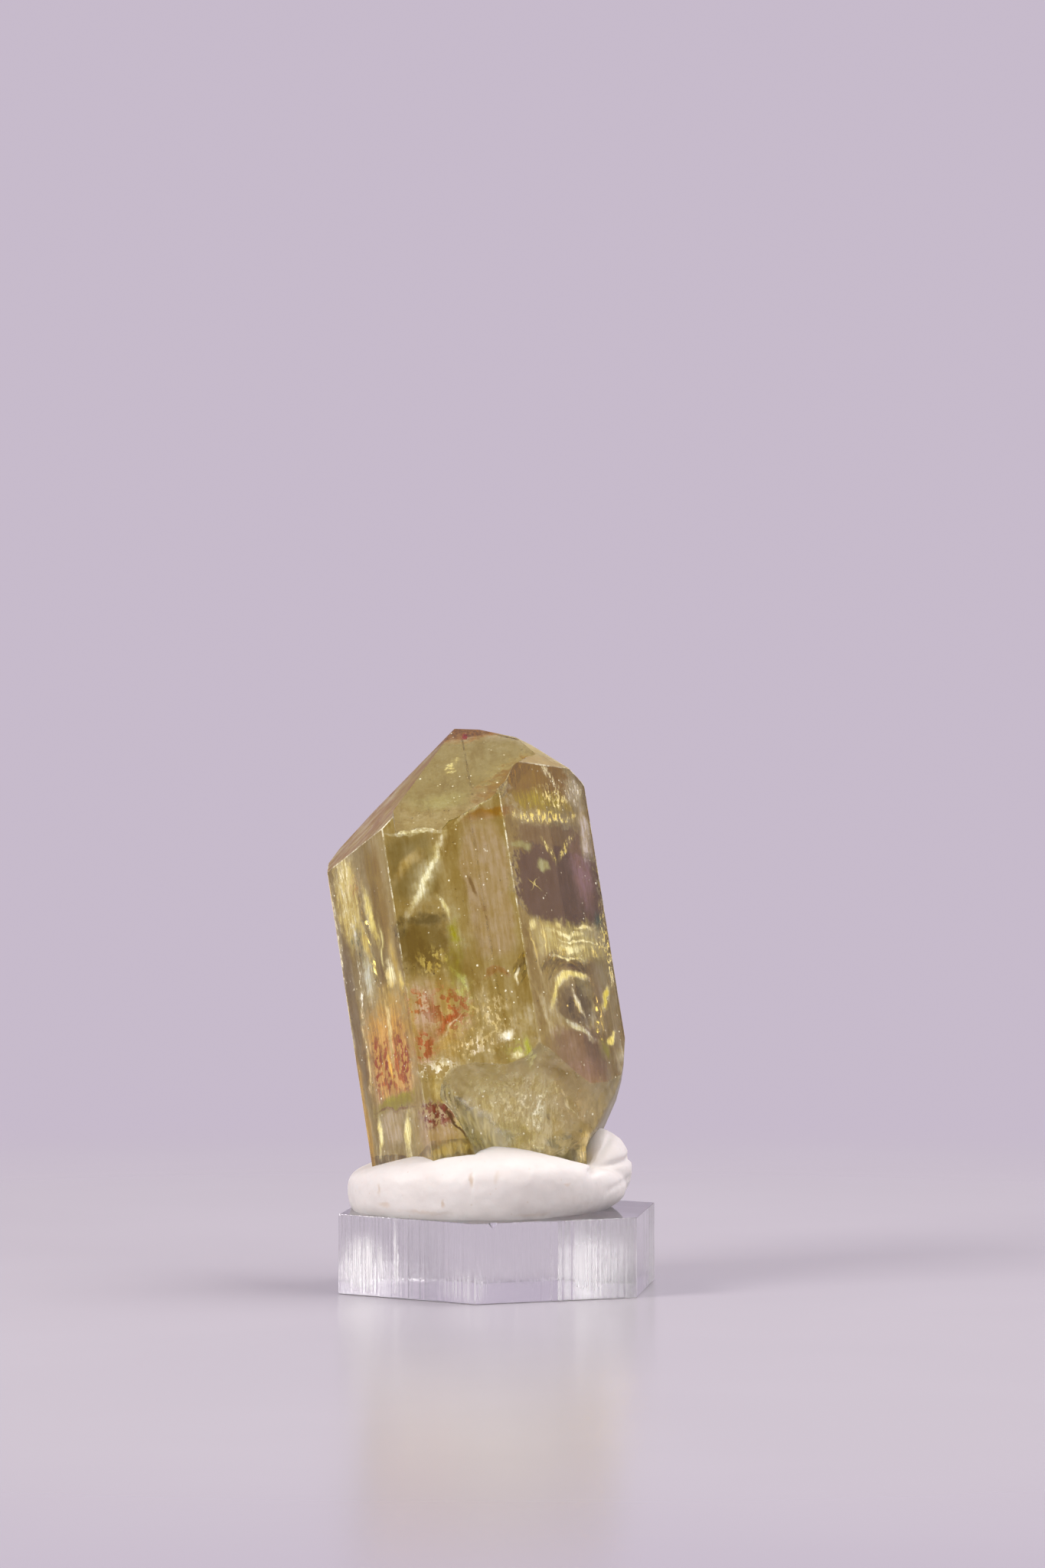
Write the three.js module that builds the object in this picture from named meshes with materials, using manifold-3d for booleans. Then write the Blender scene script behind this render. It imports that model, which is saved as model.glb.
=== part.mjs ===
// Apatite specimen: one six-sided yellow-green crystal pressed into a lump of white mineral
// putty on a clear hexagonal block. Millimetres, +Z up, origin at the middle of the underside.
import * as THREE from "three";
import { mergeVertices } from "three/addons/utils/BufferGeometryUtils.js";
import Module from "manifold-3d";

const wasm = await Module();
wasm.setup();

// Block: quarter inch clear sheet, sawn to a regular hexagon with one corner to -Y
const BLOCK_THICKNESS = 6.35;
const BLOCK_ACROSS_FLATS = 24.0;
const BLOCK_CORNER_REACH = BLOCK_ACROSS_FLATS / Math.sqrt(3);
const BLOCK_CHIP = { x: 1.33, y: -13.2, width: 0.8, depth: 0.55 };

// Crystal: lengths are measured from its own axis, bearings are seen from above
const FRONT_BEARING = -91.5;
const FACE_STEP = 60;
const PRISM_FACES = {
  front: { turn: 0, distance: 11.2 },
  frontRight: { turn: 1, distance: 8.25 },
  backRight: { turn: 2, distance: 8.5 },
  backLeft: { turn: 4, distance: 9.75, flare: 5 },
  frontLeft: { turn: 5, distance: 11.45 },
};
const LEFT_TRIM = { bearing: 180, distance: 12.28 };
const BACK_RIDGE = { turn: 3, distance: 6.4, splay: 8 };
const PYRAMID_SLOPE = 40.3;
const CRYSTAL_TOP_STOCK = 45;
const CRYSTAL_SIDE_STOCK = 44;

// Pyramid faces: bearing, slope from level, and the height where the face crosses the axis
const PYRAMID_FACES = {
  frontLeft: { bearing: -158, slope: 40.8, crest: 36.3 },
  backLeft: { bearing: 147, slope: 33, crest: 38.0 },
  back: { bearing: 88.5, slope: PYRAMID_SLOPE, crest: 39.4 },
  backRight: { bearing: 28.5, slope: PYRAMID_SLOPE, crest: 38.6 },
  frontRight: { bearing: -31.5, slope: PYRAMID_SLOPE, crest: 38.3 },
};
const FRONT_PYRAMID = { bearing: -87.3, slope: 38.5, crest: 34.95 };

// Small worn planes that round the tip and the right shoulder
const WORN_PLANES = [
  { bearing: 0, slope: 14, crest: 36.9 },
  { bearing: -6, slope: 34, crest: 38.2 },
  { bearing: 4, slope: 47, crest: 40.45 },
  { bearing: -3, slope: 67, crest: 52.7 },
];

// Shoulder: the right side stands proud of the front pyramid face, up to this broken line
const SHOULDER_LINE = [
  [-4.0, 24.5], [-2.5, 25.9], [-1.5, 26.9], [0.0, 27.2], [0.9, 27.8], [2.5, 28.3],
  [3.6, 29.9], [4.7, 31.3], [5.8, 32.2], [6.6, 32.7], [10.5, 32.9],
];
const SHOULDER_RISE_BACKWARD = 0.1;
const SHOULDER_ROUGHNESS = 0.16;
const SHOULDER_RELIEF_SCALE = 1.3;

// Foot: a broken hollow opens the lower front right, from this line downward
const HOLLOW_TOP_LINE = [
  [-7.0, 4.2], [-6.1, 5.3], [-5.5, 6.6], [-4.6, 7.2], [-2.5, 7.2], [-0.1, 6.6], [1.6, 7.0],
  [2.8, 8.0], [3.8, 7.2], [5.2, 5.7], [6.3, 4.8], [7.6, 5.0], [10.5, 6.6],
];
const HOLLOW_LEFT_LINE = [
  [-7.0, -3.1], [0.5, -3.7], [2.3, -4.4], [3.6, -5.0], [4.9, -6.0], [8.0, -6.0],
];
const HOLLOW_FADE = 1.5;
const HOLLOW_ROUGHNESS = 0.22;
const HOLLOW_FLOOR = { x: -6, y: -10.4, slopeRight: 0.3, slopeDown: 0.28 };
const HOLLOW_SCOOP = { x: 2.2, strength: 0.42, power: 1.35 };

// Lower right corner: worn away along this outline, seen square to the front face
const WORN_CORNER = [
  [9.75, 9.2], [9.4, 7.6], [9.2, 6.7], [8.8, 5.5], [8.15, 4.2], [7.1, 2.8], [6.3, 1.7], [5.6, 0.9],
  [5.1, 0.1], [5.0, -0.7], [4.8, -9.0],
];
const WORN_CORNER_OUTER = 16;

// Pose: how the crystal leans in the putty, before the whole specimen is turned on the block
const CRYSTAL_FOOT = { x: 2.15, y: 2.2, z: 9.9 };
const CRYSTAL_LEAN = 9.1;
const CRYSTAL_TILT_BACK = 11.5;
const SPECIMEN_TURN = 7.1;
const CRYSTAL_BOTTOM_HEIGHT = 7.3;

// Putty: a pressed cushion with a roll folded up behind the crystal's right side
const PUTTY_CENTRE = { x: -1.17, y: 0.2 };
const PUTTY_HALF_WIDTH = 11.3;
const PUTTY_HALF_DEPTH = 11.2;
const PUTTY_MIDDLE_HEIGHT = 8.2;
const PUTTY_SAG = 4.2;
const PUTTY_RIM = { front: 3.9, side: 1.8, back: 2.9 };
const PUTTY_SQUARENESS = 0.62;
const PUTTY_UNEVENNESS = 0.022;
const SOCKET_CLEARANCE = 0.3;
const ROLL_BEARING = 30;
const ROLL_HALF_SPAN = 42;
const ROLL_REACH = 9.75;
const ROLL_HALF_WIDTH = 2.9;
const ROLL_HALF_HEIGHT = 3.35;
const ROLL_HEIGHT = 9.4;

const DEGREE = Math.PI / 180;
const UP = new THREE.Vector3(0, 0, 1);
const CUTTER_SIZE = 90;
const MERGE_DISTANCE = 1e-5;

// A closed geometry as a solid that can be joined and cut
function solidOf(geometry) {
  const bare = geometry.clone();
  bare.deleteAttribute("normal");
  bare.deleteAttribute("uv");
  const merged = mergeVertices(bare, MERGE_DISTANCE);
  return new wasm.Manifold(new wasm.Mesh({
    numProp: 3,
    vertProperties: new Float32Array(merged.attributes.position.array),
    triVerts: new Uint32Array(merged.index.array),
  }));
}

// A solid as a flat-shaded geometry
function geometryOf(solid) {
  const mesh = solid.getMesh();
  const geometry = new THREE.BufferGeometry();
  geometry.setAttribute("position", new THREE.BufferAttribute(mesh.vertProperties, 3));
  geometry.setIndex(new THREE.BufferAttribute(mesh.triVerts, 1));
  geometry.computeVertexNormals();
  return geometry;
}

// Unit vector at a bearing, raised towards +Z by the given angle
function direction(bearing, raised = 0) {
  const level = Math.cos(raised * DEGREE);
  return new THREE.Vector3(
    Math.cos(bearing * DEGREE) * level,
    Math.sin(bearing * DEGREE) * level,
    Math.sin(raised * DEGREE),
  );
}

// Removes everything beyond the plane normal . p = distance
function cutBeyond(solid, normal, distance) {
  const cutter = new THREE.BoxGeometry(CUTTER_SIZE, CUTTER_SIZE, CUTTER_SIZE);
  cutter.applyQuaternion(new THREE.Quaternion().setFromUnitVectors(UP, normal));
  const middle = normal.clone().multiplyScalar(distance + CUTTER_SIZE / 2);
  cutter.translate(middle.x, middle.y, middle.z);
  return solid.subtract(solidOf(cutter));
}

// A pyramid face given by its slope and the height where it crosses the axis
function cutSloping(solid, face, clearance) {
  const normal = direction(face.bearing, 90 - face.slope);
  return cutBeyond(solid, normal, normal.z * face.crest + clearance);
}

// Height or distance on a broken line at the given place
function along(line, place) {
  if (place <= line[0][0]) return line[0][1];
  for (let i = 1; i < line.length; i += 1) {
    const [start, low] = line[i - 1];
    const [end, high] = line[i];
    if (place <= end) return low + (high - low) * (place - start) / (end - start);
  }
  return line[line.length - 1][1];
}

// Shallow ribs and dimples of a shell-like break
function breakRelief(u, v) {
  return Math.sin(1.9 * u + 0.8 * v) * 0.5
    + Math.sin(2.7 * v - 1.1 * u + 1.3) * 0.35
    + Math.sin(4.3 * u + 3.1 * v + 0.4) * 0.15;
}

// Front of the untouched prism at a place across it
function prismFront(x) {
  return Math.max(...[PRISM_FACES.front, PRISM_FACES.frontRight].map((face) => {
    const normal = direction(FRONT_BEARING + face.turn * FACE_STEP);
    return (face.distance - normal.x * x) / normal.y;
  }));
}

// How far back the broken hollow reaches, as a y value
function hollowDepth(x, z) {
  const below = along(HOLLOW_TOP_LINE, x) - z;
  const right = x - along(HOLLOW_LEFT_LINE, z);
  const inside = Math.min(below, right);
  if (inside < 0) return prismFront(x) + inside;
  const settled = 1 - Math.exp(-inside / HOLLOW_FADE);
  const scoop = HOLLOW_SCOOP.strength * Math.max(0, x - HOLLOW_SCOOP.x) ** HOLLOW_SCOOP.power;
  const floor = HOLLOW_FLOOR.y + HOLLOW_FLOOR.slopeRight * (x - HOLLOW_FLOOR.x)
    + HOLLOW_FLOOR.slopeDown * below + scoop;
  const depth = prismFront(x) * (1 - settled) + floor * settled;
  return Math.max(depth, prismFront(x)) + HOLLOW_ROUGHNESS * settled * breakRelief(x, z);
}

// A block whose rear face follows the broken hollow; what it covers is gone from the crystal
function hollowCutter(setBack) {
  const middle = 2;
  const width = 20;
  const height = 20;
  const reach = 30;
  const rows = 26;
  const block = new THREE.BoxGeometry(width, reach, height, rows, 1, rows);
  block.translate(middle, -reach / 2, 0);
  const points = block.attributes.position;
  for (let i = 0; i < points.count; i += 1) {
    if (points.getY(i) < 0) continue;
    points.setY(i, hollowDepth(points.getX(i), points.getZ(i)) - setBack);
  }
  return solidOf(block);
}

// The worn lower right corner, square to the front face
function cornerCutter(setBack) {
  const outline = new THREE.Shape();
  outline.moveTo(WORN_CORNER_OUTER, WORN_CORNER[0][1]);
  WORN_CORNER.forEach(([x, z]) => outline.lineTo(x + setBack, z));
  outline.lineTo(WORN_CORNER_OUTER, WORN_CORNER[WORN_CORNER.length - 1][1]);
  const sweep = 2 * CUTTER_SIZE;
  const geometry = new THREE.ExtrudeGeometry(outline, { depth: sweep, bevelEnabled: false });
  geometry.rotateX(90 * DEGREE);
  geometry.translate(0, sweep / 2, 0);
  return solidOf(geometry);
}

// Everything under the broken shoulder line
function shoulderStock() {
  const middle = 3;
  const width = 18;
  const depth = 30;
  const block = new THREE.BoxGeometry(width, depth, 2 * CRYSTAL_TOP_STOCK, 24, 22, 1);
  block.translate(middle, 0, 0);
  const points = block.attributes.position;
  for (let i = 0; i < points.count; i += 1) {
    if (points.getZ(i) < 0) continue;
    const x = points.getX(i);
    const y = points.getY(i);
    const behind = Math.max(0, y - prismFront(x));
    const rough = SHOULDER_ROUGHNESS * breakRelief(SHOULDER_RELIEF_SCALE * x, SHOULDER_RELIEF_SCALE * y);
    points.setZ(i, along(SHOULDER_LINE, x) + SHOULDER_RISE_BACKWARD * behind + rough);
  }
  return solidOf(block);
}

// The six-sided prism; its left edge is cut flat and its back is two faces that meet in a low ridge
function prism(clearance) {
  const stock = new THREE.BoxGeometry(CRYSTAL_SIDE_STOCK, CRYSTAL_SIDE_STOCK, 2 * CRYSTAL_TOP_STOCK);
  let solid = solidOf(stock);
  for (const face of Object.values(PRISM_FACES)) {
    const normal = direction(FRONT_BEARING + face.turn * FACE_STEP, -(face.flare ?? 0));
    solid = cutBeyond(solid, normal, face.distance + clearance);
  }
  for (const side of [-1, 1]) {
    const normal = direction(FRONT_BEARING + BACK_RIDGE.turn * FACE_STEP + side * BACK_RIDGE.splay);
    solid = cutBeyond(solid, normal, BACK_RIDGE.distance + clearance);
  }
  return cutBeyond(solid, direction(LEFT_TRIM.bearing), LEFT_TRIM.distance + clearance);
}

const crystalPose = new THREE.Matrix4()
  .makeRotationFromEuler(new THREE.Euler(-CRYSTAL_TILT_BACK * DEGREE, -CRYSTAL_LEAN * DEGREE, 0, "YXZ"))
  .setPosition(CRYSTAL_FOOT.x, CRYSTAL_FOOT.y, CRYSTAL_FOOT.z);

// The part of the crystal above a level cut at the given height over the table
function cutLevelBelow(solid, height) {
  const level = new THREE.Plane(new THREE.Vector3(0, 0, 1), -height).applyMatrix4(crystalPose.clone().invert());
  return cutBeyond(solid, level.normal.clone().negate(), level.constant);
}

// The whole crystal, or the room it needs in the putty when a clearance is given
function crystal(clearance = 0) {
  let stock = prism(clearance);
  for (const face of Object.values(PYRAMID_FACES)) stock = cutSloping(stock, face, clearance);
  for (const face of WORN_PLANES) stock = cutSloping(stock, face, clearance);
  let solid = cutSloping(stock, FRONT_PYRAMID, clearance).add(stock.intersect(shoulderStock()));
  solid = solid.subtract(hollowCutter(clearance));
  solid = solid.subtract(cornerCutter(clearance));
  return cutLevelBelow(solid, CRYSTAL_BOTTOM_HEIGHT - clearance);
}

// The pressed cushion: a squashed ball with an uneven outline and a rim that is highest in front
function cushion() {
  const ball = new THREE.SphereGeometry(1, 64, 30);
  ball.rotateX(90 * DEGREE);
  const points = ball.attributes.position;
  for (let i = 0; i < points.count; i += 1) {
    const across = Math.min(1, Math.hypot(points.getX(i), points.getY(i)));
    const angle = Math.atan2(points.getY(i), points.getX(i));
    const up = points.getZ(i);
    const forward = -Math.sin(angle);
    const rim = PUTTY_RIM.side + (forward > 0 ? PUTTY_RIM.front - PUTTY_RIM.side : PUTTY_RIM.back - PUTTY_RIM.side)
      * forward ** 2;
    const wobble = 1 + PUTTY_UNEVENNESS * (Math.sin(3 * angle + 0.6) + 0.6 * Math.sin(5 * angle + 2.1));
    const reach = across ** PUTTY_SQUARENESS * wobble;
    const lift = Math.sign(up) * Math.abs(up) ** PUTTY_SQUARENESS;
    points.setXYZ(
      i,
      PUTTY_CENTRE.x + PUTTY_HALF_WIDTH * reach * Math.cos(angle),
      PUTTY_CENTRE.y + PUTTY_HALF_DEPTH * reach * Math.sin(angle),
      PUTTY_MIDDLE_HEIGHT + lift * (up > 0 ? rim : PUTTY_SAG),
    );
  }
  return solidOf(ball);
}

// The roll of putty folded over the cushion's rim, bent to follow it behind the crystal's right side
function foldedRoll() {
  const roll = new THREE.SphereGeometry(1, 28, 18);
  const points = roll.attributes.position;
  for (let i = 0; i < points.count; i += 1) {
    const angle = (ROLL_BEARING + ROLL_HALF_SPAN * points.getY(i)) * DEGREE;
    const reach = ROLL_REACH + ROLL_HALF_WIDTH * points.getX(i);
    points.setXYZ(
      i,
      PUTTY_CENTRE.x + reach * Math.cos(angle),
      PUTTY_CENTRE.y + reach * Math.sin(angle),
      ROLL_HEIGHT + ROLL_HALF_HEIGHT * points.getZ(i),
    );
  }
  return solidOf(roll);
}

function puttyGeometry() {
  const socket = geometryOf(crystal(SOCKET_CLEARANCE)).applyMatrix4(crystalPose);
  let solid = cushion().add(foldedRoll()).subtract(solidOf(socket));
  solid = solid.rotate([0, 0, SPECIMEN_TURN]);
  return geometryOf(cutBeyond(solid, UP.clone().negate(), -BLOCK_THICKNESS));
}

function blockGeometry() {
  const outline = new THREE.Shape();
  for (let corner = 0; corner < 6; corner += 1) {
    const angle = (corner * FACE_STEP - 90) * DEGREE;
    const place = [BLOCK_CORNER_REACH * Math.cos(angle), BLOCK_CORNER_REACH * Math.sin(angle)];
    if (corner === 0) outline.moveTo(...place);
    else outline.lineTo(...place);
  }
  outline.closePath();
  const block = new THREE.ExtrudeGeometry(outline, { depth: BLOCK_THICKNESS, bevelEnabled: false });
  const chip = new THREE.ConeGeometry(BLOCK_CHIP.width, 2 * BLOCK_CHIP.depth, 5);
  chip.rotateX(-90 * DEGREE);
  chip.translate(BLOCK_CHIP.x, BLOCK_CHIP.y, BLOCK_THICKNESS);
  return geometryOf(solidOf(block).subtract(solidOf(chip)));
}

function piece(name, geometry, material) {
  const mesh = new THREE.Mesh(geometry, material);
  mesh.name = name;
  return mesh;
}

const clearBlock = new THREE.MeshStandardMaterial({ color: 0xe9e9f2, roughness: 0.08, metalness: 0 });
const whitePutty = new THREE.MeshStandardMaterial({ color: 0xefe9e6, roughness: 0.75, metalness: 0 });
const yellowApatite = new THREE.MeshStandardMaterial({ color: 0xb3a55e, roughness: 0.12, metalness: 0 });

const specimen = new THREE.Group();
specimen.rotation.z = SPECIMEN_TURN * DEGREE;
const crystalMesh = piece("apatite_crystal", geometryOf(crystal()), yellowApatite);
crystalMesh.applyMatrix4(crystalPose);
specimen.add(crystalMesh);

const object = new THREE.Group();
object.add(piece("acrylic_base", blockGeometry(), clearBlock));
object.add(piece("mineral_putty", puttyGeometry(), whitePutty));
object.add(specimen);

export default object;
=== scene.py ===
"""Looks of a yellow-green apatite crystal set in white putty on a clear hexagonal block."""

import logging
import math
from dataclasses import dataclass
from enum import Enum
from typing import Callable, Iterable, Sequence

import bmesh
import bpy
import numpy as np
from mathutils import Matrix, Vector, noise


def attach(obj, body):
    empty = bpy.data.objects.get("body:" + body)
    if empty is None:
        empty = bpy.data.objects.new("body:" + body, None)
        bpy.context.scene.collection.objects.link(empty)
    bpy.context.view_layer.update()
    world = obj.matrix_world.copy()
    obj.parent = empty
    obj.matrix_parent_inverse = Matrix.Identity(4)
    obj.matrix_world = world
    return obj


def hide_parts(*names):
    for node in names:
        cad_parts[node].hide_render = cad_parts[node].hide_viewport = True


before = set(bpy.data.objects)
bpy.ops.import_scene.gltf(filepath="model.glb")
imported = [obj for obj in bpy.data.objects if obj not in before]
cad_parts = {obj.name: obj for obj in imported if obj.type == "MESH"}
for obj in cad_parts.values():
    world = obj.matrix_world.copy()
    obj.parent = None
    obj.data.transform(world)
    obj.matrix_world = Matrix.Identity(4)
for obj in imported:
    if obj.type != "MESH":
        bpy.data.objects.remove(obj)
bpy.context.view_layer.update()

log = logging.getLogger("apatite")

MM = 0.001
SPECIMEN_TURN = 7.1
FRONT_BEARING = -91.5
BLOCK_TOP = 6.35
CRYSTAL_POSE = (
    Matrix.Rotation(math.radians(SPECIMEN_TURN), 4, "Z")
    @ Matrix.Translation((2.15, 2.2, 9.9))
    @ Matrix.Rotation(math.radians(-9.1), 4, "Y")
    @ Matrix.Rotation(math.radians(-11.5), 4, "X")
)
SPECIMEN_POSE = Matrix.Rotation(math.radians(SPECIMEN_TURN), 4, "Z")

# Cosines between normals that count as the same way, and as nearly the same way
SAME_WAY = 0.9995
NEARLY_SAME_WAY = 0.90

Colour = tuple[float, float, float]
Pair = tuple[float, float]
Socket = bpy.types.NodeSocket


class PrismSide(Enum):
    """Prism faces that carry marks, by the bearing that each one faces in the crystal's own frame."""

    FRONT = FRONT_BEARING
    RIGHT = FRONT_BEARING + 60.0
    LEFT = FRONT_BEARING - 60.0


SIDE_DISTANCE = {
    PrismSide.FRONT: 11.2,
    PrismSide.RIGHT: 8.25,
    PrismSide.LEFT: 11.45,
}


# Helpers for working as by hand


def activate(piece: bpy.types.Object) -> None:
    """Selects one object alone and makes it the active one."""
    bpy.ops.object.select_all(action="DESELECT")
    piece.select_set(True)
    bpy.context.view_layer.objects.active = piece


def added(name: str) -> bpy.types.Object:
    """Names the object that an add operator has just made, and returns it."""
    piece = bpy.context.view_layer.objects.active
    piece.name = name
    piece.data.name = name
    return piece


def edit_all(piece: bpy.types.Object, *steps: Callable[[], object]) -> None:
    """Runs edit-mode steps on a whole mesh.

    Args:
        piece: The mesh object to work on.
        steps: Calls that run in edit mode, each with everything selected.
    """
    activate(piece)
    bpy.ops.object.mode_set(mode="EDIT")
    for step in steps:
        bpy.ops.mesh.select_all(action="SELECT")
        step()
    bpy.ops.object.mode_set(mode="OBJECT")


def cut_away(piece: bpy.types.Object, normal: Vector, distance: float, keep_outer: bool = False) -> None:
    """Bisects a closed mesh by the plane normal . p = distance and closes the cut.

    Args:
        piece: The mesh object to cut.
        normal: The plane's outward normal.
        distance: The plane's distance from the origin along the normal.
        keep_outer: Keeps what lies beyond the plane instead of what lies behind it.
    """
    edit_all(
        piece,
        lambda: bpy.ops.mesh.bisect(
            plane_co=normal * distance,
            plane_no=normal,
            use_fill=True,
            clear_outer=not keep_outer,
            clear_inner=keep_outer,
            threshold=1e-5,
        ),
    )


def apply_modifier(piece: bpy.types.Object, kind: str, **settings: object) -> None:
    """Adds one modifier with its settings and applies it.

    Args:
        piece: The object that gets the modifier.
        kind: The modifier's type.
        settings: Values for the modifier's properties.
    """
    modifier = piece.modifiers.new(kind.lower(), kind)
    for key, value in settings.items():
        setattr(modifier, key, value)
    activate(piece)
    bpy.ops.object.modifier_apply(modifier=modifier.name)


def carve(piece: bpy.types.Object, tool: bpy.types.Object, operation: str = "DIFFERENCE") -> None:
    """Cuts or joins one closed mesh with another, which is used up.

    Args:
        piece: The mesh object that stays.
        tool: The mesh object that is used up.
        operation: DIFFERENCE, UNION or INTERSECT.
    """
    apply_modifier(piece, "BOOLEAN", object=tool, operation=operation, solver="EXACT")
    bpy.data.objects.remove(tool)


def settle(piece: bpy.types.Object, pose: Matrix) -> None:
    """Turns and moves a piece built in millimetres to its place, and leaves its object at the origin.

    Args:
        piece: The object to place.
        pose: Where its own frame sits, in millimetres.
    """
    activate(piece)
    piece.matrix_world = Matrix.Scale(MM, 4) @ pose
    bpy.ops.object.transform_apply(location=True, rotation=True, scale=True)


def reshape(piece: bpy.types.Object, rule: Callable[[np.ndarray], np.ndarray]) -> None:
    """Moves all vertices of a mesh by one rule.

    Args:
        piece: The mesh object.
        rule: Takes the vertex places as an array and returns the new ones.
    """
    count = len(piece.data.vertices)
    places = np.empty(count * 3)
    piece.data.vertices.foreach_get("co", places)
    piece.data.vertices.foreach_set("co", rule(places.reshape(count, 3)).ravel())
    piece.data.update()


def shade(piece: bpy.types.Object, smooth: bool) -> None:
    """Shades all faces of a mesh smooth or flat."""
    piece.data.polygons.foreach_set("use_smooth", [smooth] * len(piece.data.polygons))


def face_vectors(piece: bpy.types.Object, kind: str) -> np.ndarray:
    """The normal or center of every face, one per row."""
    values = np.empty(len(piece.data.polygons) * 3)
    piece.data.polygons.foreach_get(kind, values)
    return values.reshape(-1, 3)


def write_layer(piece: bpy.types.Object, name: str, values: np.ndarray, domain: str = "FACE") -> None:
    """Writes an attribute that a material reads.

    Args:
        piece: The mesh object.
        name: The attribute's name.
        values: One number, or a colour with its strength, per element.
        domain: What carries the values.
    """
    kind, key = ("FLOAT_COLOR", "color") if values.ndim == 2 else ("FLOAT", "value")
    layer = piece.data.attributes.new(name, kind, domain)
    layer.data.foreach_set(key, values.astype(np.float32).ravel())


def along(line: Sequence[Pair], place: np.ndarray) -> np.ndarray:
    """Value of a broken line at the given places."""
    starts, values = zip(*line)
    return np.interp(place, starts, values)


def bearing_vector(bearing: float, raised: float = 0.0) -> Vector:
    """Unit vector at a bearing in degrees, raised towards +Z by the given angle."""
    level = math.cos(math.radians(raised))
    turn = math.radians(bearing)
    return Vector((math.cos(turn) * level, math.sin(turn) * level, math.sin(math.radians(raised))))


def side_frame(side: PrismSide, across: float, up: float, depth: float, roll: float = 0.0) -> Matrix:
    """Frame on a prism face: X across it, Y into the crystal, Z up it, turned by roll in the face.

    Args:
        side: The prism face.
        across: Place across the face, to the right as seen from outside, in millimetres.
        up: Place along the crystal's axis, in millimetres.
        depth: How far behind the face, in millimetres.
        roll: Turn in the face, in degrees, clockwise as seen from outside.

    Returns:
        The frame's matrix in the crystal's own millimetre frame.
    """
    bearing = side.value
    outward = bearing_vector(bearing)
    right = bearing_vector(bearing + 90.0)
    place = outward * (SIDE_DISTANCE[side] - depth) + right * across + Vector((0.0, 0.0, up))
    turn = Matrix.Rotation(math.radians(bearing + 90.0), 4, "Z")
    return Matrix.Translation(place) @ turn @ Matrix.Rotation(math.radians(roll), 4, "Y")


def fractal(places: np.ndarray, size: float, seed: float, octaves: int = 3) -> np.ndarray:
    """Smooth noise at places, from about -1 to 1.

    Args:
        places: Points, one per row.
        size: Size of the largest features, in the same unit as the points.
        seed: Shifts the pattern.
        octaves: How many finer layers are added.

    Returns:
        One value per point.
    """
    shift = Vector((seed * 3.17, seed * 1.73, seed * 2.39))
    values = [noise.fractal(Vector(p) / size + shift, 0.9, 2.1, octaves) for p in places]
    return np.array(values)


# Helpers for materials


@dataclass(frozen=True)
class Blotches:
    """Soft spots of noise.

    Attributes:
        size: Size of the spots in metres.
        levels: Noise levels between which the spots rise.
        values: What they rise from and to.
        detail: How many finer layers the noise has.
        rough: How strong the finer layers are.
    """

    size: float
    levels: Pair
    values: Pair = (0.0, 1.0)
    detail: float = 5.0
    rough: float = 0.65


@dataclass(frozen=True)
class Dots:
    """Small dots, one in each cell.

    Attributes:
        size: Size of the cells in metres.
        rim: Distance from a cell's middle at which its dot starts, in cell sizes.
        core: Distance at which it is full.
        strength: Its strength there.
    """

    size: float
    rim: float
    core: float
    strength: float = 1.0


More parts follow.
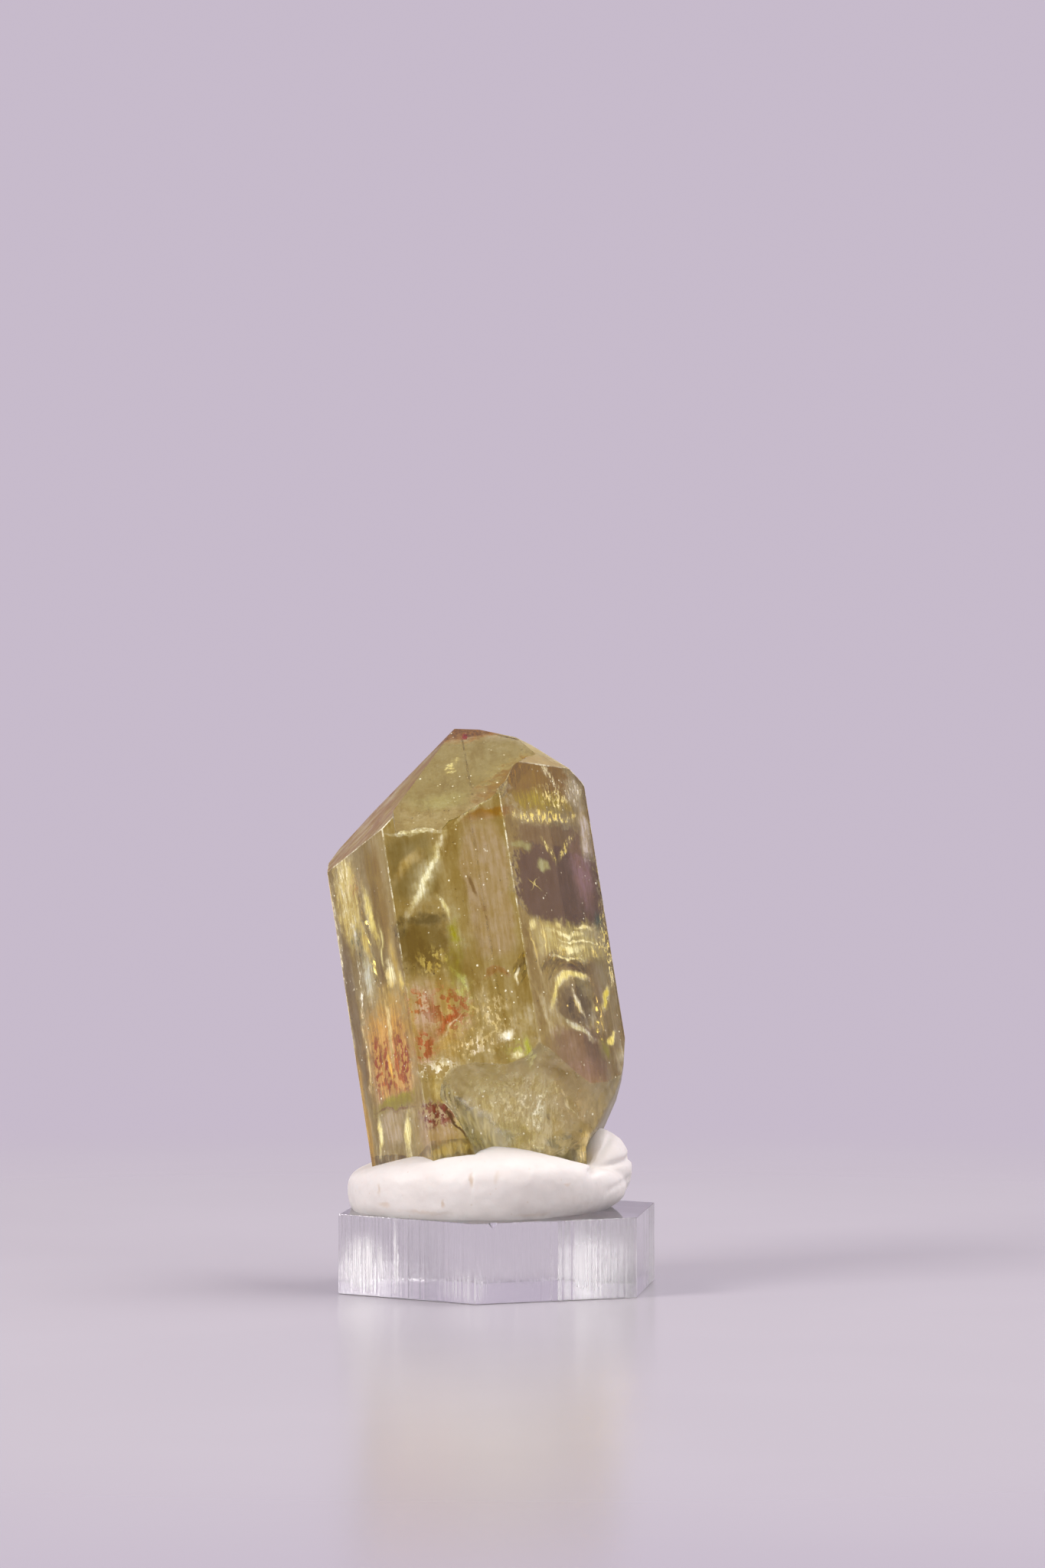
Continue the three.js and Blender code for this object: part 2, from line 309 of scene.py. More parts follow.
class NodeBoard:
    """Adds and links the nodes of one material."""

    def __init__(self, name: str) -> None:
        """Starts an empty material."""
        self.material = bpy.data.materials.new(name)
        self.material.use_nodes = True
        self.tree = self.material.node_tree
        self.tree.nodes.clear()
        self.output = self.tree.nodes.new("ShaderNodeOutputMaterial")
        self.coordinates = self.tree.nodes.new("ShaderNodeTexCoord").outputs["Object"]

    def node(self, kind: str, **settings: object) -> bpy.types.Node:
        """Adds a node and sets its properties."""
        made = self.tree.nodes.new(kind)
        for key, value in settings.items():
            setattr(made, key, value)
        return made

    def feed(self, socket: Socket, value: object) -> None:
        """Links a socket, or writes a plain value to it."""
        if isinstance(value, bpy.types.NodeSocket):
            self.tree.links.new(value, socket)
        elif isinstance(value, tuple) and len(value) == 3 and socket.type == "RGBA":
            socket.default_value = (*value, 1.0)
        else:
            socket.default_value = value

    def maths(self, operation: str, first: object, second: object = 0.0, third: float = 0.0,
              clamp: bool = False) -> Socket:
        """One Math node."""
        made = self.node("ShaderNodeMath", operation=operation, use_clamp=clamp)
        self.feed(made.inputs[0], first)
        self.feed(made.inputs[1], second)
        made.inputs[2].default_value = third
        return made.outputs[0]

    def times(self, first: object, second: object) -> Socket:
        """Product of two values."""
        return self.maths("MULTIPLY", first, second)

    def larger(self, first: object, second: object) -> Socket:
        """The larger of two values."""
        return self.maths("MAXIMUM", first, second)

    def vector_maths(self, operation: str, *inputs: object) -> bpy.types.Node:
        """One Vector Math node."""
        made = self.node("ShaderNodeVectorMath", operation=operation)
        for socket, value in zip(made.inputs, inputs):
            self.feed(socket, value)
        return made

    def spread(self, value: Socket, low: float, high: float, start: float = 0.0, end: float = 1.0) -> Socket:
        """Maps low..high softly to start..end."""
        made = self.node("ShaderNodeMapRange", interpolation_type="SMOOTHSTEP")
        self.feed(made.inputs["Value"], value)
        for key, number in (("From Min", low), ("From Max", high), ("To Min", start), ("To Max", end)):
            made.inputs[key].default_value = number
        return made.outputs[0]

    def mix(self, factor: object, first: object, second: object, blend: str = "MIX") -> Socket:
        """Mixes two colours."""
        made = self.node("ShaderNodeMix", data_type="RGBA", blend_type=blend)
        self.feed(made.inputs["Factor"], factor)
        self.feed(made.inputs[6], first)
        self.feed(made.inputs[7], second)
        return made.outputs[2]

    def attribute(self, name: str) -> Socket:
        """Value of one of the mesh's own attributes."""
        return self.node("ShaderNodeAttribute", attribute_name=name).outputs["Fac"]

    def noise(self, vector: Socket, scale: float, detail: float, rough: float = 0.5,
              distortion: float = 0.0) -> Socket:
        """Noise on given coordinates."""
        made = self.node("ShaderNodeTexNoise")
        self.feed(made.inputs["Vector"], vector)
        values = {"Scale": scale, "Detail": detail, "Roughness": rough, "Distortion": distortion}
        for key, number in values.items():
            made.inputs[key].default_value = number
        return made.outputs["Fac"]

    def cloud(self, size: float, detail: float = 3.0, rough: float = 0.5, distortion: float = 0.0) -> Socket:
        """Noise with features of a given size in metres."""
        return self.noise(self.coordinates, 1.0 / size, detail, rough, distortion)

    def blotches(self, kind: Blotches) -> Socket:
        """Soft spots of noise."""
        return self.spread(self.cloud(kind.size, kind.detail, kind.rough), *kind.levels, *kind.values)

    def dots(self, kind: Dots) -> Socket:
        """Small dots, one in each cell."""
        made = self.node("ShaderNodeTexVoronoi", feature="F1")
        self.feed(made.inputs["Vector"], self.coordinates)
        made.inputs["Scale"].default_value = 1.0 / kind.size
        return self.spread(made.outputs["Distance"], kind.rim, kind.core, 0.0, kind.strength)

    def placed(self, pose: Matrix, size: Sequence[float], vector: Socket | None = None) -> Socket:
        """Coordinates in a frame given in millimetres, where the given half sizes become 1."""
        made = self.node("ShaderNodeMapping", vector_type="TEXTURE")
        self.feed(made.inputs["Vector"], vector or self.coordinates)
        made.inputs["Location"].default_value = pose.to_translation() * MM
        made.inputs["Rotation"].default_value = pose.to_euler()
        made.inputs["Scale"].default_value = [number * MM for number in size]
        return made.outputs[0]

    def length(self, vector: Socket) -> Socket:
        """Length of a vector."""
        return self.vector_maths("LENGTH", vector).outputs["Value"]

    def height(self, vector: Socket) -> Socket:
        """Third part of a vector."""
        split = self.node("ShaderNodeSeparateXYZ")
        self.feed(split.inputs[0], vector)
        return split.outputs[2]

    def stirred(self, size: float, amount: float) -> Socket:
        """Object coordinates pushed about by noise, for ragged outlines.

        Args:
            size: Size of the noise in metres.
            amount: How far it pushes, in metres.

        Returns:
            The coordinates.
        """
        made = self.node("ShaderNodeTexNoise")
        self.feed(made.inputs["Vector"], self.coordinates)
        made.inputs["Scale"].default_value = 1.0 / size
        made.inputs["Detail"].default_value = 4.0
        centred = self.vector_maths("SUBTRACT", made.outputs["Color"], (0.5, 0.5, 0.5))
        pushed = self.vector_maths("MULTIPLY_ADD", centred.outputs[0], (amount,) * 3, self.coordinates)
        return pushed.outputs[0]

    def bump(self, height: Socket, depth: float, strength: float = 1.0,
             under: Socket | None = None) -> Socket:
        """Bump normal from a height field.

        Args:
            height: The field, from 0 to 1.
            depth: Depth of the relief in metres.
            strength: How much of it is used.
            under: Normal of a relief below it.

        Returns:
            The normal.
        """
        made = self.node("ShaderNodeBump")
        made.inputs["Strength"].default_value = strength
        made.inputs["Distance"].default_value = depth
        self.feed(made.inputs["Height"], height)
        if under is not None:
            self.feed(made.inputs["Normal"], under)
        return made.outputs[0]

    def principled(self, **inputs: object) -> bpy.types.Node:
        """The main shader, linked to the output. Underscores in names stand for spaces."""
        made = self.node("ShaderNodeBsdfPrincipled")
        for key, value in inputs.items():
            self.feed(made.inputs[key.replace("_", " ")], value)
        self.tree.links.new(made.outputs[0], self.output.inputs["Surface"])
        return made

    def absorb(self, colour: Colour, density: float) -> None:
        """Gives the inside a colour that grows with the light's way through it.

        Args:
            colour: Colour that the light keeps.
            density: How fast it takes that colour, per metre.
        """
        made = self.node("ShaderNodeVolumeAbsorption")
        made.inputs["Color"].default_value = (*colour, 1.0)
        made.inputs["Density"].default_value = density
        self.tree.links.new(made.outputs[0], self.output.inputs["Volume"])


@dataclass
class ClearSkin:
    """Colour, milkiness and roughness of a clear surface, while marks are laid on it.

    Attributes:
        board: The material's nodes.
        tint: Colour so far.
        veil: Milkiness so far, from 0 to 1.
        dull: Roughness so far.
    """

    board: NodeBoard
    tint: Socket
    veil: Socket
    dull: object = 0.0

    def paint(self, cover: object, colour: object) -> None:
        """Lays a colour over the tint."""
        self.tint = self.board.mix(cover, self.tint, colour)

    def darken(self, cover: object, colour: Colour) -> None:
        """Multiplies the tint by a colour where it is covered."""
        self.paint(cover, self.board.mix(1.0, self.tint, colour, "MULTIPLY"))

    def cloud_over(self, amount: Socket) -> None:
        """Makes the surface at least this milky."""
        self.veil = self.board.larger(self.veil, amount)

    def roughen(self, amount: Socket) -> None:
        """Makes the surface at least this rough."""
        self.dull = self.board.larger(amount, self.dull)


# Finishes


class Outline(Enum):
    """Outlines that a patch can have."""

    ROUND = "round"
    BOXY = "boxy"
    ARCH = "arch"


@dataclass(frozen=True)
class TintPatch:
    """A patch of colour or haze in the skin of the crystal: a colour zone, stain or veil, or a painted
    highlight, glint or shade.

    Attributes:
        side: The prism face that it lies on.
        across: Middle of the patch across the face, in millimetres.
        up: Middle of the patch along the crystal's axis.
        half: Half width and half height, or radius and half width of an arch.
        colour: Tint of the light that passes, and colour of the haze.
        strength: How much of the tint is used.
        veil: How far the patch is milky instead of clear.
        edge: Softness of the outline, from 0 to 1.
        roll: Turn in the face, in degrees, clockwise from outside.
        ragged: How far the outline is broken up by fine noise.
        speckle: Breaks the patch into specks: 0 keeps it whole.
        outline: Round, boxy or an arch.
        depth: How far behind the face the middle lies.
        thick: Half thickness of the patch.
        flatten: Height of an arch over its half width.
        satin: Roughness that the patch gives the surface.
        lacy: Breaks it into a lace of blots instead of upright specks.
    """

    side: PrismSide
    across: float
    up: float
    half: Pair
    colour: Colour
    strength: float = 1.0
    veil: float = 0.0
    edge: float = 0.5
    roll: float = 0.0
    ragged: float = 0.0
    speckle: float = 0.0
    outline: Outline = Outline.ROUND
    depth: float = 0.0
    thick: float = 2.0
    flatten: float = 1.0
    satin: float = 0.0
    lacy: bool = False

    @classmethod
    def stroke(cls, side: PrismSide, start: Pair, end: Pair, width: float, colour: Colour,
               strength: float = 1.0, **rest: object) -> "TintPatch":
        """A narrow patch between two points of a face.

        Args:
            side: The prism face.
            start: One end, across and up the face.
            end: The other end.
            width: Half width at the middle.
            colour: As for a patch.
            strength: As for a patch.
            rest: The other fields of a patch.

        Returns:
            The patch.
        """
        wide, high = end[0] - start[0], end[1] - start[1]
        half = (width, 0.5 * math.hypot(wide, high))
        middle = (0.5 * (start[0] + end[0]), 0.5 * (start[1] + end[1]))
        return cls(side, *middle, half, colour, strength, roll=math.degrees(math.atan2(wide, high)), **rest)

    @property
    def size(self) -> Sequence[float]:
        """Half sizes across, into and up the face."""
        if self.outline is Outline.ARCH:
            return (self.half[0], self.thick, self.half[0] * self.flatten)
        return (self.half[0], self.thick, self.half[1])


@dataclass(frozen=True)
class ApatiteFinish:
    """Clear yellow-green apatite: glassy faces, satin breaks, stains, soft colour zones, and painted
    highlights, glints and shade.

    Attributes:
        ior: Refractive index.
        absorption: Colour that light keeps on its way through.
        density: How fast it takes that colour, per metre.
        zones: Pale and deep colour of the growth zones.
        zone_levels: Noise levels between which the deep zones rise.
        break_colour: Tint of the broken surfaces, and how much of it is used.
        mottle_colour: What the cloudy spots multiply the tint by.
        speck_and_glint_colour: Colour of the white specks.
        zone_noise: Stretch, scale, detail and roughness of the growth zones.
        zone_stir: Size and reach of the noise that bends them, in metres.
        stir: Size and reach of the noise that roughens the outlines of patches, in metres.
        fine: Size in metres, detail and roughness of the fine noise.
        grit: Size in millimetres, stretch and detail of the upright specks.
        streaks: Size in millimetres, stretch and detail of the fine streaks.
        streaked_veil: Streak levels, and what they multiply the milkiness by.
        streaked_tint: Streak levels, and how far they darken the tint.
        speck_levels: Grit levels between which specks rise.
        lace_levels: Noise levels between which a lace of blots rises.
        arch_foot: Heights between which an arch comes in.
        haze: Thin haze, and haze_height where it grows on the way down, in millimetres.
        haze_share: How much of it grows that way, and how much is everywhere.
        stain_cover: How patchy the stains on the tip are.
        stain_veil: Milkiness of a full stain, and stain_rough its roughness.
        break_cloud: Cloudiness of the broken surfaces.
        mottle: Cloudy spots.
        sparkle: Glittering dots on the breaks, and sparkle_fields where they lie.
        chips: Chipping of the worn edges, and chip_height where it grows on the way up.
        glint_flecks: Sparse white dots that are painted glints.
        dust: Fine white dust, and dust_fields where it lies.
        glint_fleck_levels: Fine noise levels between which the painted glints come in, and dust_levels dust.
        rough: Roughness of a face, of a break above it, and of a full veil.
        growth: Scale, detail, depth and strength of the growth lines.
        ribs: Depth and strength of the ribs of a break.
        layer: How many patches lie in one layer.
        hair: How far one layer of patches pushes the next, in metres.
        patches: Soft colour zones, stains and veils, and painted highlights, glints and shade.
    """

    ior: float = 1.632
    absorption: Colour = (0.876, 0.81, 0.33)
    density: float = 112.0
    zones: tuple[Colour, Colour] = ((0.97, 0.92, 0.72), (0.66, 0.54, 0.20))
    zone_levels: Pair = (0.47, 0.60)
    break_colour: tuple[Colour, float] = ((0.90, 0.80, 0.46), 0.55)
    mottle_colour: Colour = (0.82, 0.74, 0.40)
    speck_and_glint_colour: Colour = (0.93, 0.90, 0.70)
    zone_noise: tuple[float, float, float, float] = (4.0, 0.55, 4.0, 0.6)
    zone_stir: Pair = (0.003, 0.0012)
    stir: Pair = (0.0022, 0.0016)
    fine: tuple[float, float, float] = (0.0006, 4.0, 0.62)
    grit: tuple[float, float, float] = (0.34, 1.7, 3.0)
    streaks: tuple[float, float, float] = (0.30, 9.0, 4.0)
    streaked_veil: tuple[float, float, float, float] = (0.34, 0.62, 0.62, 1.22)
    streaked_tint: tuple[float, float, float, float] = (0.40, 0.60, 0.5, 0.0)
    speck_levels: Pair = (0.49, 0.57)
    lace_levels: Pair = (0.49, 0.54)
    arch_foot: Pair = (0.3, 0.75)
    haze: Blotches = Blotches(0.0025, (0.45, 0.72), (0.02, 0.34))
    haze_height: Pair = (16.0, 8.0)
    haze_share: Pair = (0.8, 0.06)
    stain_cover: Blotches = Blotches(0.0028, (0.35, 0.65), (0.7, 1.1))
    stain_veil: float = 0.62
    stain_rough: float = 0.95
    break_cloud: Blotches = Blotches(0.0015, (0.40, 0.75), (0.13, 0.42))
    mottle: Blotches = Blotches(0.0013, (0.40, 0.64), (0.0, 0.75), rough=0.7)
    sparkle: Dots = Dots(0.0005, 0.26, 0.10)
    sparkle_fields: Blotches = Blotches(0.0014, (0.52, 0.66), (0.0, 0.8), 2.0, 0.5)
    chips: Blotches = Blotches(0.0009, (0.40, 0.66), (0.10, 0.85), 4.0, 0.7)
    chip_height: tuple[float, float, float, float] = (12.0, 21.0, 0.30, 1.0)
    glint_flecks: Dots = Dots(0.0013, 0.10, 0.05)
    dust: Dots = Dots(0.00048, 0.20, 0.09)
    glint_fleck_levels: Pair = (0.45, 0.60)
    dust_levels: Pair = (0.48, 0.60)
    dust_fields: Blotches = Blotches(0.0035, (0.44, 0.58), (0.0, 0.85), 3.0, 0.6)
    rough: tuple[float, float, float] = (0.02, 0.10, 0.35)
    growth: tuple[float, float, float, float] = (2.2, 3.0, 0.00002, 0.16)
    ribs: Pair = (0.00014, 0.35)
    layer: int = 6
    hair: float = 0.00004
    patches: tuple[TintPatch, ...] = ()

    def build(self) -> bpy.types.Material:
        """Makes the material.

        Returns:
            The material.
        """
        board = NodeBoard("apatite")
        stirred = board.stirred(*self.stir)
        fine = board.cloud(*self.fine)
        grit = self._stretched(board, *self.grit)
        streak = self._stretched(board, *self.streaks)
        skin = ClearSkin(board, self._zoning(board), self._haze(board))
        self._lay_patches(skin, stirred, fine, grit)
        broken = board.attribute("broken")
        worn = board.attribute("worn")
        skin.veil = board.times(skin.veil, board.spread(streak, *self.streaked_veil))
        skin.darken(board.spread(streak, *self.streaked_tint), self.mottle_colour)
        self._stain(skin)
        height = self._height(board)
        skin.cloud_over(board.times(broken, board.blotches(self.break_cloud)))
        colour, share = self.break_colour
        skin.paint(board.times(broken, share), colour)
        skin.darken(board.blotches(self.mottle), self.mottle_colour)
        # Painted glints, with the chips and dust, laid on as white milky dots
        white = self._specks_and_glints(board, broken, worn, fine, height)
        skin.paint(white, self.speck_and_glint_colour)
        skin.cloud_over(white)
        clear = board.maths("SUBTRACT", 1.0, skin.veil, clamp=True)
        face, on_break, veiled = self.rough
        rough = board.maths("MULTIPLY_ADD", broken, on_break, face)
        rough = board.larger(rough, board.times(skin.veil, veiled))
        board.principled(
            Base_Color=skin.tint,
            Roughness=board.larger(rough, skin.dull),
            IOR=self.ior,
            Transmission_Weight=clear,
            Normal=self._relief(board, broken),
            Specular_IOR_Level=0.5,
        )
        board.absorb(self.absorption, self.density)
        return board.material

    def _lay_patches(self, skin: ClearSkin, stirred: Socket, fine: Socket, grit: Socket) -> None:
        """Lays all patches on the skin, in layers.

        The last patch of each layer pushes the coordinates of the next one by a hair. It can't be seen,
        and it makes the renderer work the layers out one after another, so that any number fits.

        Args:
            skin: The skin to lay them on.
            stirred: Coordinates that roughen their outlines.
            fine: Fine noise.
            grit: Upright specks.
        """
        board = skin.board
        for number, patch in enumerate(self.patches):
            mask = self._mask(board, patch, stirred, fine, grit)
            if number % self.layer == self.layer - 1:
                hair = (self.hair, 0.0, self.hair)
                stirred = board.vector_maths("MULTIPLY_ADD", mask, hair, stirred).outputs[0]
            skin.paint(mask, patch.colour)
            if patch.veil > 0.0:
                skin.cloud_over(board.times(mask, patch.veil))
            if patch.satin > 0.0:
                skin.roughen(board.times(mask, patch.satin))

    def _stain(self, skin: ClearSkin) -> None:
        """Lays the stains of the tip faces on the skin."""
        board = skin.board
        stain = board.node("ShaderNodeAttribute", attribute_name="stain")
        cover = board.times(stain.outputs["Alpha"], board.blotches(self.stain_cover))
        skin.paint(cover, stain.outputs["Color"])
        skin.cloud_over(board.times(cover, self.stain_veil))
        skin.roughen(board.times(stain.outputs["Alpha"], self.stain_rough))

    def _specks_and_glints(self, board: NodeBoard, broken: Socket, worn: Socket, fine: Socket, height: Socket) -> Socket:
        """White dots: painted glints on the breaks and faces, chips on the worn edges, and fine dust.

        Args:
            board: The material's nodes.
            broken: Where the surface is a break.
            worn: Where it is a worn edge.
            fine: Fine noise.
            height: Height along the crystal's axis.

        Returns:
            Their mask.
        """
        sparkle = board.times(board.dots(self.sparkle), broken)
        sparkle = board.times(sparkle, board.blotches(self.sparkle_fields))
        chipped = board.times(worn, board.blotches(self.chips))
        chipped = board.times(chipped, board.spread(height, *self.chip_height))
        # Painted glints: sparse white dots all over
        glint_flecks = board.times(board.dots(self.glint_flecks), board.spread(fine, *self.glint_fleck_levels))
        dust = board.times(board.dots(self.dust), board.spread(fine, *self.dust_levels))
        dust = board.times(dust, board.blotches(self.dust_fields))
        return board.larger(board.larger(sparkle, chipped), board.larger(glint_flecks, dust))

    def _zoning(self, board: NodeBoard) -> Socket:
        """Streaky colour zones that run up the crystal."""
        stretch, *noise_values = self.zone_noise
        streaked = board.placed(CRYSTAL_POSE, (1.0, 1.0, stretch), board.stirred(*self.zone_stir))
        zones = board.noise(streaked, *noise_values)
        return board.mix(board.spread(zones, *self.zone_levels), *self.zones)

    @staticmethod
    def _stretched(board: NodeBoard, size: float, stretch: float, detail: float) -> Socket:
        """Noise with features of a given size in millimetres, stretched up the crystal."""
        return board.noise(board.placed(CRYSTAL_POSE, (size, size, size * stretch)), 1.0, detail, 0.6)

    @staticmethod
    def _height(board: NodeBoard) -> Socket:
        """Height along the crystal's axis, in millimetres."""
        return board.height(board.placed(CRYSTAL_POSE, (1.0, 1.0, 1.0)))

    def _haze(self, board: NodeBoard) -> Socket:
        """Thin haze, stronger in the lower half of the crystal."""
        low = board.spread(self._height(board), *self.haze_height)
        clouds = board.blotches(self.haze)
        return board.times(clouds, board.maths("MULTIPLY_ADD", low, *self.haze_share))

    def _mask(self, board: NodeBoard, patch: TintPatch, stirred: Socket, fine: Socket,
              grit: Socket) -> Socket:
        """Mask of one patch.

        Args:
            board: The material's nodes.
            patch: The patch.
            stirred: Coordinates that roughen its outline.
            fine: Fine noise.
            grit: Upright specks.

        Returns:
            0 outside the patch and its strength inside.
        """
        pose = CRYSTAL_POSE @ side_frame(patch.side, patch.across, patch.up, patch.depth, patch.roll)
        local = board.placed(pose, patch.size, stirred)
        reach = board.length(local)
        if patch.outline is Outline.BOXY:
            squared = board.vector_maths("MULTIPLY", local, local)
            reach = board.maths("SQRT", board.length(squared.outputs[0]))
        if patch.outline is Outline.ARCH:
            off = board.maths("ABSOLUTE", board.maths("SUBTRACT", reach, 1.0))
            reach = board.times(off, patch.half[0] / patch.half[1])
        if patch.ragged > 0.0:
            push = board.maths("MULTIPLY_ADD", fine, 2.0 * patch.ragged, -patch.ragged)
            reach = board.maths("ADD", reach, push)
        mask = board.spread(reach, 1.0 + patch.edge * 0.5, 1.0 - patch.edge, 0.0, patch.strength)
        if patch.outline is Outline.ARCH:
            mask = board.times(mask, board.spread(board.height(local), *self.arch_foot))
        if patch.speckle > 0.0:
            pattern, levels = (fine, self.lace_levels) if patch.lacy else (grit, self.speck_levels)
            mask = board.times(mask, board.spread(pattern, *levels, 1.0 - patch.speckle, 1.0))
        return mask

    def _relief(self, board: NodeBoard, broken: Socket) -> Socket:
        """Faint growth lines up the prism, and the fine ribs of the breaks."""
        scale, detail, depth, strength = self.growth
        lines = board.noise(board.placed(CRYSTAL_POSE, (1.0, 1.0, 60.0)), scale, detail)
        growth = board.bump(lines, depth, strength)
        ribs = board.times(board.cloud(0.0009, 5.0, 0.6, distortion=1.2), broken)
        return board.bump(ribs, *self.ribs, growth)


@dataclass(frozen=True)
class PuttyFinish:
    """Soft warm white putty with faint tan smudges, and painted shade in a crease and along its foot.

    Attributes:
        colour: Main colour.
        shade: Colour of its duller areas.
        tone: How the duller areas lie.
        smudge_and_shade: Colour of the smudges and of the painted shade.
        marks: Smudges and painted shade, each as a place and half sizes in millimetres, and a strength.
        specks: Tiny specks in the smudges' colour.
        satin: How its roughness varies.
        grain: Size, detail, roughness, depth and strength of the grain.
    """

    colour: Colour = (0.69, 0.65, 0.64)
    shade: Colour = (0.63, 0.585, 0.57)
    tone: Blotches = Blotches(0.004, (0.3, 0.75), detail=4.0, rough=0.5)
    smudge_and_shade: Colour = (0.52, 0.40, 0.30)
    marks: tuple[tuple[Sequence[float], Sequence[float], float], ...] = (
        # Painted shade: a dark line in the crease at the front
        ((-2.1, -10.5, 9.5), (0.24, 2.0, 0.65), 0.75),
        ((-0.1, -10.5, 9.7), (0.30, 2.0, 0.60), 0.35),
        ((-4.25, -10.5, 7.6), (0.20, 2.0, 0.36), 0.70),
        ((-9.0, -7.5, 7.3), (0.60, 2.5, 0.30), 0.50),
        ((-9.5, -7.5, 8.5), (0.13, 2.5, 0.60), 0.50),
        ((5.5, -8.5, 9.0), (0.35, 2.5, 0.13), 0.40),
        # Painted shadow: two faint bands low on the front, where the putty meets the block
        ((3.0, -10.5, 6.7), (2.0, 2.0, 0.20), 0.30),
        ((-5.5, -9.5, 6.9), (3.0, 2.5, 0.22), 0.30),
    )
    specks: Dots = Dots(0.0011, 0.10, 0.03, 0.35)
    satin: Blotches = Blotches(0.002, (0.3, 0.7), (0.5, 0.68), 3.0, 0.5)
    grain: tuple[float, float, float, float, float] = (0.0006, 4.0, 0.6, 0.00006, 0.5)

    def build(self) -> bpy.types.Material:
        """Makes the material.

        Returns:
            The material.
        """
        board = NodeBoard("white_putty")
        stirred = board.stirred(0.0008, 0.0007)
        tone = board.mix(board.blotches(self.tone), self.colour, self.shade)
        for place, half, strength in self.marks:
            pose = SPECIMEN_POSE @ Matrix.Translation(place)
            mask = board.spread(board.length(board.placed(pose, half, stirred)), 1.2, 0.2, 0.0, strength)
            tone = board.mix(mask, tone, self.smudge_and_shade)
        size, detail, rough, depth, strength = self.grain
        board.principled(
            Base_Color=board.mix(board.dots(self.specks), tone, self.smudge_and_shade),
            Roughness=board.blotches(self.satin),
            Normal=board.bump(board.cloud(size, detail, rough), depth, strength),
            Subsurface_Weight=0.25,
            Subsurface_Radius=(1.0, 0.7, 0.6),
            Subsurface_Scale=0.0012,
        )
        return board.material


@dataclass(frozen=True)
class AcrylicFinish:
    """Clear acrylic with sawn sides.

    Attributes:
        ior: Refractive index.
        absorption: Colour that light keeps on its way through.
        density: How fast it takes that colour, per metre.
        surface: Colour of its surface.
        sawn_lines: Half sizes of a saw line's pattern in millimetres.
        frost: Streaky frosted areas, as place, turn in degrees, half sizes and strength.
        frost_rough: Roughness of full frost.
    """

    ior: float = 1.49
    absorption: Colour = (0.97, 0.97, 1.0)
    density: float = 4.0
    surface: Colour = (0.88, 0.87, 0.89)
    sawn_lines: tuple[float, float, float] = (0.16, 0.16, 9.0)
    frost: tuple[tuple[Sequence[float], float, Sequence[float], float], ...] = (
        ((-9.7, -8.3, 2.4), -30.0, (2.6, 0.9, 2.6), 0.75),
        ((-6.96, -9.84, 3.2), -30.0, (0.26, 0.9, 3.6), 0.9),
        ((8.7, -8.85, 2.7), 30.0, (2.9, 0.9, 2.6), 0.55),
        ((-0.6, -13.4, 1.2), -30.0, (3.0, 0.9, 1.5), 0.35),
    )
    frost_rough: float = 0.45

    def build(self) -> bpy.types.Material:
        """Makes the material.

        Returns:
            The material.
        """
        board = NodeBoard("clear_acrylic")
        sawn = board.attribute("sawn")
        lines = board.noise(board.placed(Matrix.Identity(4), self.sawn_lines), 1.0, 4.0)
        streaks = board.times(lines, sawn)
        rough = board.maths("MULTIPLY_ADD", board.spread(streaks, 0.35, 0.7), 0.22, 0.03)
        frosted: object = 0.0
        stirred = board.stirred(0.0008, 0.0005)
        for place, turn, half, strength in self.frost:
            pose = Matrix.Translation(place) @ Matrix.Rotation(math.radians(turn), 4, "Z")
            reach = board.length(board.placed(pose, half, stirred))
            frosted = board.larger(frosted, board.spread(reach, 1.2, 0.4, 0.0, strength))
        frosted = board.times(frosted, board.spread(streaks, 0.36, 0.62, 0.15, 1.0))
        board.principled(
            Base_Color=self.surface,
            Roughness=board.larger(rough, board.times(frosted, self.frost_rough)),
            IOR=self.ior,
            Transmission_Weight=board.maths("SUBTRACT", 1.0, frosted, clamp=True),
            Normal=board.bump(streaks, 0.00004, 0.6),
            Specular_IOR_Level=0.5,
        )
        board.absorb(self.absorption, self.density)
        return board.material


@dataclass(frozen=True)
class FloorFinish:
    """Pale polished floor that fades out away from the object.

    Attributes:
        colour: Colour of the floor.
        light_colour: Colour of its lighter areas.
        clouds: How the lighter areas lie.
        fade: Radii between which it fades, in metres.
    """

    colour: Colour = (0.395, 0.373, 0.405)
    light_colour: Colour = (0.465, 0.44, 0.475)
    clouds: Blotches = Blotches(0.05, (0.35, 0.7), (0.0, 0.25), 3.0, 0.5)
    fade: Pair = (0.09, 0.19)

    def build(self) -> bpy.types.Material:
        """Makes the material.

        Returns:
            The material.
        """
        board = NodeBoard("pale_floor")
        reach = board.length(board.coordinates)
        board.principled(
            Base_Color=board.mix(board.blotches(self.clouds), self.colour, self.light_colour),
            Roughness=0.2,
            Alpha=board.spread(reach, *self.fade, 1.0, 0.0),
            Specular_IOR_Level=0.35,
        )
        return board.material


# The crystal


